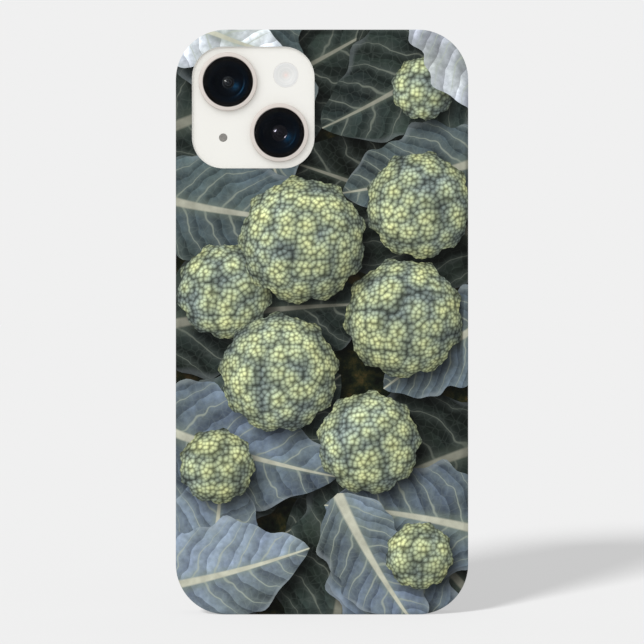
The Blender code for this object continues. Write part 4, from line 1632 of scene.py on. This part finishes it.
@dataclass
class WireScreen:
    """A woven wire mesh, as two sets of parallel wires that cross."""

    name: str
    box: Box
    axis: Axis
    pitch: float
    wire: float
    round_rim: bool = False

    def build(self) -> bpy.types.Object:
        """Builds both sets of wires with Geometry Nodes, each cut to the rim's chord."""
        u, v, level = self.axis.value
        half_u, half_v = self.box.size[u] / 2, self.box.size[v] / 2
        tree = GeometryTree(self.name, {
            "Half Width": half_u,
            "Half Height": half_v,
            "Rim": half_u if self.round_rim else 100.0,
            "Pitch": self.pitch,
            "Wire": self.wire,
        })
        both = tree.add("GeometryNodeJoinGeometry")
        sets = (("Half Width", "Half Height", 0.0), ("Half Height", "Half Width", QUARTER))
        for length, across, turn in sets:
            tree.tree.links.new(self.wires(tree, length, across, turn).outputs[0], both.inputs[0])
        place = self.box.middle
        place[level] = self.box.low[level] + self.wire * 2
        return tree.build(both, place, (0.0 if self.axis is Axis.Z else QUARTER, 0.0, 0.0))

    def wires(self, tree: GeometryTree, length: str, across: str, turn: float) -> Any:
        """Adds one set of parallel wires.

        Args:
            tree: The tree being built.
            length: The input that gives half the wires' length.
            across: The input that gives half the set's spread.
            turn: The set's turn about its normal.

        Returns:
            The node that holds the set.
        """
        reach, spread, pitch, wire, rim = tree.read(length, across, "Pitch", "Wire", "Rim")
        line = tree.row((spread / pitch * 2.0).calc("FLOOR") + 1.0, pitch, 1)
        bar = tree.add("GeometryNodeMeshCylinder", {"Vertices": 6, "Radius": wire, "Depth": 2.0})
        offset = Signal(tree.tree, tree.add("GeometryNodeInputPosition")).split()[1]
        chord = (rim ** 2.0 - offset ** 2.0).calc("MAXIMUM", 1e-9) ** 0.5
        scale = tree.add("ShaderNodeCombineXYZ", {0: chord.calc("MINIMUM", reach), 1: 1.0, 2: 1.0})
        placed = tree.put(line, tree.move(bar, (0.0, QUARTER, 0.0)), Scale=scale)
        real = tree.add("GeometryNodeRealizeInstances", {"Geometry": placed})
        return tree.move(real, (0.0, 0.0, turn), (0.0, 0.0, self.wire if turn else -self.wire))


@dataclass
class SideKeys:
    """The three keys and the ring switch, each on its own moving body."""

    soft_edge: float = 0.00030
    switch_edge: float = 0.0002
    switch_corner: float = 0.0005
    flange: float = 0.0005
    flange_levels: Pair = (0.00285, 0.00345)
    bodies: tuple[str, ...] = ("side_button", "volume_up_button", "volume_down_button", "ring_switch")

    def build(self) -> None:
        """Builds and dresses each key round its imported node."""
        metal = ALUMINIUM.make()
        for name in self.bodies:
            box = Box.of(name)
            sign = 1 if box.middle.x > 0 else -1
            face = box.high.x if sign > 0 else box.low.x
            levels = [face - sign * depth for depth in self.flange_levels]
            piece = (self.switch if name == "ring_switch" else self.key)(name, box, face, sign, levels)
            dress(piece, metal, [name], body=name)

    def key(self, name: str, box: Box, face: float, sign: int, levels: Sequence[float]) -> bpy.types.Object:
        """Builds a pill-shaped key with a flange behind the band.

        Args:
            name: The key's body.
            box: Its packed box.
            face: X of its outer face.
            sign: Which way is out.
            levels: X of the flange's outer and inner face.

        Returns:
            The key.
        """
        half = box.size.y / 2 - self.flange
        outline = box.outline(Axis.X, half, 12, (self.flange, self.flange))
        profile = quarter_round(0.0, face, self.soft_edge, -sign, 6)
        profile += [(0.0, levels[0]), *((-self.flange, level) for level in levels)]
        return profile_loft(f"{name}_cap", outline, profile)

    def switch(self, name: str, box: Box, face: float, sign: int,
               levels: Sequence[float]) -> bpy.types.Object:
        """Builds the ring switch: a lever on a wider flange.

        Args:
            name: The switch's body.
            box: Its packed box.
            face: X of its outer face.
            sign: Which way is out.
            levels: X of the flange's outer and inner face.

        Returns:
            The switch.
        """
        lever, plate = (box.outline(Axis.X, self.switch_corner, 8, (0.0, less)) for less in (0.0010, 0.0))
        profile = quarter_round(0.0, face, self.switch_edge, -sign, 5) + [(0.0, levels[1])]
        shaped = profile_loft(f"{name}_lever", lever, profile)
        return combine(shaped, [profile_loft("flange", plate, [(0.0, level) for level in levels])], "UNION")


@dataclass
class LowerEdge:
    """The charging port with its tongue and contacts, the two screws and the sound meshes."""

    contact_count: int = 12
    contact_pitch: float = 0.0005
    contact: Triple = (0.00028, 0.0008, 0.0032)
    contact_lift: float = 0.0032
    recess: Pair = (0.00042, 0.00010)
    recess_points: int = 5
    recess_steps: int = 50

    def build(self) -> None:
        """Builds and dresses what shows through the openings in the case's lower edge, and the earpiece."""
        steel = STEEL.make()
        box = Box.of("charging_port")
        dress(self.receptacle(box), steel, ["charging_port"])
        dress(self.tongue(box), NYLON.make())
        dress(self.contacts(box), GOLD.make())
        for side in ("left", "right"):
            dress(self.screw(side), steel, [f"bottom_screw_{side}"])
            self.weave(f"sound_weave_{side}", f"sound_mesh_{side}", Axis.Z, 0.00028, 0.00007)
        self.weave("earpiece_weave", "earpiece_mesh", Axis.Y, 0.00022, 0.00006)

    @staticmethod
    def weave(name: str, node: str, axis: Axis, pitch: float, wire: float) -> None:
        """Builds and dresses a woven mesh in place of a packed one.

        Args:
            name: The piece's name.
            node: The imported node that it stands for.
            axis: The axis across the mesh.
            pitch: The distance between two wires.
            wire: The wire's radius.
        """
        box = Box.of(node)
        if axis is Axis.Y:
            box = Box(Vector((box.low.x, box.high.y - 0.0003, box.low.z)), box.high)
        dress(WireScreen(name, box, axis, pitch, wire).build(), WIRE.make(), [node])

    @staticmethod
    def receptacle(box: Box) -> bpy.types.Object:
        """Builds the drawn steel shell of the port.

        Args:
            box: The port's packed box.

        Returns:
            The shell.
        """
        half, wall, soft = box.size.y / 2, 0.0003, 0.0001
        return profile_loft("charging_port_shell", box.outline(Axis.Z, half, 12), [
            (wall, box.high.z - wall),
            (wall, box.low.z + 2 * soft),
            (wall - soft, box.low.z),
            (soft, box.low.z),
            (0.0, box.low.z + soft),
            (0.0, box.high.z),
        ])

    @staticmethod
    def tongue(box: Box) -> bpy.types.Object:
        """Builds the moulded tongue that carries the contacts."""
        outline = Outline(Axis.Z, 0.0033, 0.00035, 0.00012, box.middle.x, box.middle.y, 4)
        levels = [(0.0001, box.low.z + 0.0010), (0.0, box.low.z + 0.0012), (0.0, box.high.z - 0.00032)]
        return profile_loft("port_tongue", outline, levels)

    def contacts(self, box: Box) -> bpy.types.Object:
        """Builds both rows of contacts with Geometry Nodes, as pads through the port's tongue.

        Args:
            box: The port's packed box.

        Returns:
            The contacts.
        """
        tree = GeometryTree("port_contacts", {
            "Count": self.contact_count, "Pitch": self.contact_pitch, "Pad": self.contact})
        count, pitch, size = tree.read("Count", "Pitch", "Pad")
        placed = tree.put(tree.row(count, pitch, 0), tree.add("GeometryNodeMeshCube", {"Size": size}))
        place = (box.middle.x, box.middle.y, box.low.z + self.contact_lift)
        return tree.build(placed, place, (0.0, 0.0, 0.0))

    def screw(self, side: str) -> bpy.types.Object:
        """Builds a small pan-headed screw with a star recess.

        Args:
            side: left or right.

        Returns:
            The screw.
        """
        box = Box.of(f"bottom_screw_{side}")
        middle = box.middle
        outline = circle(Axis.Z, box.size.x / 2, middle.x, middle.y, 8)
        edge = quarter_round(0.0, box.low.z, 0.0002, 1, 4)
        head = profile_loft(f"bottom_screw_{side}_turned", outline, [*edge, (0.0, box.high.z)])
        turns = [math.tau * step / self.recess_steps for step in range(self.recess_steps)]
        reaches = [self.recess[0] + self.recess[1] * math.cos(self.recess_points * turn) for turn in turns]
        star = [(middle.x + reach * math.cos(turn), middle.y + reach * math.sin(turn))
                for turn, reach in zip(turns, reaches)]
        levels = (box.low.z - 0.0005, box.low.z + 0.0004)
        loops = [[Vector((*point, level)) for point in star] for level in levels]
        return combine(head, [loft("recess", loops)], "DIFFERENCE")


@dataclass
class Insides:
    """What the phone holds inside: coil, magnets, board, battery and the rest."""

    turns: float = 11.0
    coil_inner: float = 0.0105
    magnet_count: int = 18
    magnet_inner: float = 0.0235
    magnet_gap: float = 0.0006
    board_area: Pair = (0.0190, 0.0560)
    board_seed: int = 7

    def build(self) -> None:
        """Builds the coil, the magnets and the board's small parts, and finishes the plain blocks."""
        dress(self.coil(), COPPER.make(), ["charging_coil"])
        dress(self.magnets(), NICKEL.make(), ["magnet_ring"])
        dress(self.chips(), NYLON.make())
        for finish, nodes in (
            (BOARD, ["logic_board"]),
            (POUCH, ["battery"]),
            (PANEL, ["display_panel"]),
            (PHOSPHOR, ["flash_light"]),
            (NICKEL, ["magnet_bar"]),
            (ALUMINIUM, ["frame", "midplate"]),
            (RESIN, [f"antenna_band_{number}" for number in range(1, 5)]),
            (STEEL, ["camera_module_upper", "camera_module_lower", "side_key_bracket", "volume_key_bracket",
                     "haptic_motor"]),
            (NYLON, ["lower_speaker", "earpiece_speaker", "front_camera"]),
            (ScreenGlass(Box.of("front_glass")), ["front_glass"]),
        ):
            paint(nodes, finish.make())

    def coil(self) -> bpy.types.Object:
        """Winds the charging coil as a flat spiral of wire."""
        box = Box.of("charging_coil")
        wire = box.size.y / 2
        tree = GeometryTree("charging_coil_wire", {
            "Turns": self.turns,
            "Inner": self.coil_inner + wire,
            "Outer": box.size.x / 2 - wire,
            "Wire": wire * 0.95,
        })
        turns, inner, outer, thick = tree.read("Turns", "Inner", "Outer", "Wire")
        spiral = tree.add("GeometryNodeCurveSpiral", {
            "Resolution": 48, "Rotations": turns, "Start Radius": inner, "End Radius": outer, "Height": 0.0})
        section = tree.add("GeometryNodeCurvePrimitiveCircle", {"Resolution": 8, "Radius": thick})
        ends = {"Curve": spiral, "Profile Curve": section, "Fill Caps": True}
        return tree.build(tree.add("GeometryNodeCurveToMesh", ends), box.middle)

    def magnets(self) -> bpy.types.Object:
        """Sets the ring's magnets round its circle, each turned to face the middle."""
        box = Box.of("magnet_ring")
        outer, inner = box.size.x / 2, self.magnet_inner
        middle = (outer + inner) / 2
        length = math.tau * middle / self.magnet_count - self.magnet_gap
        tree = GeometryTree("magnet_ring_blocks", {
            "Count": self.magnet_count,
            "Radius": middle,
            "Magnet": ((outer - inner) * 0.96, length, box.size.y),
        })
        count, radius, size = tree.read("Count", "Radius", "Magnet")
        ring = tree.add("GeometryNodeMeshCircle", {"Vertices": count, "Radius": radius})
        where = tree.add("GeometryNodeInputPosition")
        facing = tree.add("FunctionNodeAlignEulerToVector", {"Vector": where}, axis="X")
        block = tree.add("GeometryNodeMeshCube", {"Size": size})
        return tree.build(tree.put(ring, block, Rotation=facing), box.middle)

    def chips(self) -> bpy.types.Object:
        """Scatters the board's small parts on a grid in front of it, with a fixed seed."""
        box = Box.of("logic_board")
        area = self.board_area
        tree = GeometryTree("board_parts", {"Width": area[0], "Height": area[1], "Seed": self.board_seed})
        width, height, seed = tree.read("Width", "Height", "Seed")
        spread = {"Size X": width, "Size Y": height, "Vertices X": 9, "Vertices Y": 26}
        grid = tree.add("GeometryNodeMeshGrid", spread)
        sizes = {"Min": (0.0006, 0.0006, 0.0003), "Max": (0.0016, 0.0016, 0.0006), "Seed": seed}
        size = tree.add("FunctionNodeRandomValue", sizes, data_type="FLOAT_VECTOR")
        placed = tree.put(grid, tree.add("GeometryNodeMeshCube"), Scale=size)
        where = (box.high.x - area[0] / 2 - 0.0008, box.high.y + 0.00025, box.low.z + area[1] / 2 + 0.002)
        return tree.build(placed, where)


@dataclass
class Studio:
    """A pale floor under an even sky and one soft key light, seen straight on at half height."""

    distance: float = 0.60
    pixel: float = 0.0002572
    picture: int = 644
    sensor: float = 36.0
    grey: str = "f0f0f0"
    floor_glow: float = 0.505
    floor_grey: float = 0.10
    floor_reach: float = 60.0
    shadow: Pair = (17.0, 12.0)
    soft: Pair = (1.0, 60.0)
    glass: Pair = (14.0, 20.0)
    light_from: Pair = (29.4, 31.0)
    glass_from: Pair = (36.1, 22.4)

    def build(self) -> None:
        """Builds the floor, the sky, the lights and the camera. Each light is a strength and an angle."""
        scene = bpy.context.scene
        scene.view_settings.view_transform = "Standard"
        floor = self.floor()
        self.sky(scene)
        lenses = [bpy.data.objects[f"lens_{part}"] for name in ("upper", "lower")
                  for part in (f"cover_{name}_glass", f"barrel_{name}_turned", f"element_{name}_dome")]
        self.lamp("shadow_light", *self.shadow, self.light_from, [floor], "INCLUDE")
        self.lamp("soft_light", *self.soft, self.light_from, [floor], "EXCLUDE")
        self.lamp("glass_light", *self.glass, self.glass_from, lenses, "INCLUDE")
        self.camera(scene)

    def floor(self) -> bpy.types.Object:
        """Lays a wide sheet of pale, faintly glowing paper whose far edge is past sight."""
        corners = [(x * self.floor_reach, y * self.floor_reach, 0) for x, y in QUADRANTS]
        sheet = mesh_object("studio_floor", corners, [(0, 1, 2, 3)])
        paper = Coat("floor_paper", {
            "Base Color": (self.floor_grey, self.floor_grey, self.floor_grey, 1.0),
            "Roughness": 1.0,
            "Specular IOR Level": 0.0,
            "Emission Color": (1.0, 1.0, 1.0, 1.0),
            "Emission Strength": self.floor_glow,
        })
        sheet.data.materials.append(paper.material)
        return sheet

    def sky(self, scene: bpy.types.Scene) -> None:
        """Gives the studio its even light, of the same grey as the floor looks.

        Args:
            scene: The scene.
        """
        world = bpy.data.worlds.new("studio_sky")
        world.use_nodes = True
        world.node_tree.nodes["Background"].inputs["Color"].default_value = linear(self.grey)
        scene.world = world

    @staticmethod
    def lamp(name: str, strength: float, angle: float, source: Pair,
             named: Sequence[bpy.types.Object], state: str) -> None:
        """Hangs a distant light up and to the left, on the printed side.

        Args:
            name: The light's name.
            strength: Its irradiance.
            angle: The angle that its disc fills.
            source: How far it is turned to the left of the camera and how high it stands, in degrees.
            named: The objects that state is about.
            state: INCLUDE to light those alone, EXCLUDE to light all the others.
        """
        lamp = bpy.data.lights.new(name, "SUN")
        lamp.energy = strength
        lamp.angle = math.radians(angle)
        holder = bpy.data.objects.new(name, lamp)
        turn, height = map(math.radians, source)
        level = math.cos(height)
        toward = Vector((-math.sin(turn) * level, -math.cos(turn) * level, math.sin(height)))
        holder.rotation_euler = toward.to_track_quat("Z", "Y").to_euler()
        bpy.context.collection.objects.link(holder)
        reached = bpy.data.collections.new(f"{name}_reach")
        for piece in named:
            reached.objects.link(piece)
        for entry in reached.collection_objects:
            entry.light_linking.link_state = state
        holder.light_linking.receiver_collection = reached

    def camera(self, scene: bpy.types.Scene) -> None:
        """Places the camera level, at half the phone's height, so that one pixel is one known length.

        Args:
            scene: The scene.
        """
        lens = bpy.data.cameras.new("camera")
        half_view = self.pixel * self.picture / 2
        lens.sensor_width = self.sensor
        lens.lens = self.sensor / 2 / (half_view / self.distance)
        lens.clip_start = 0.01
        lens.clip_end = 200.0
        view = bpy.data.objects.new("camera", lens)
        case = Box.of("case_shell")
        view.location = (case.middle.x, case.low.y + Case.edge - self.distance, case.middle.z)
        view.rotation_euler = (QUARTER, 0.0, 0.0)
        bpy.context.collection.objects.link(view)
        scene.camera = view


def main() -> None:
    """Builds every assembly in order."""
    logging.basicConfig(level=logging.INFO, format="%(name)s: %(message)s")
    Case().build()
    CameraCorner().build()
    SideKeys().build()
    LowerEdge().build()
    Insides().build()
    Studio().build()


if __name__ == "__main__":
    main()
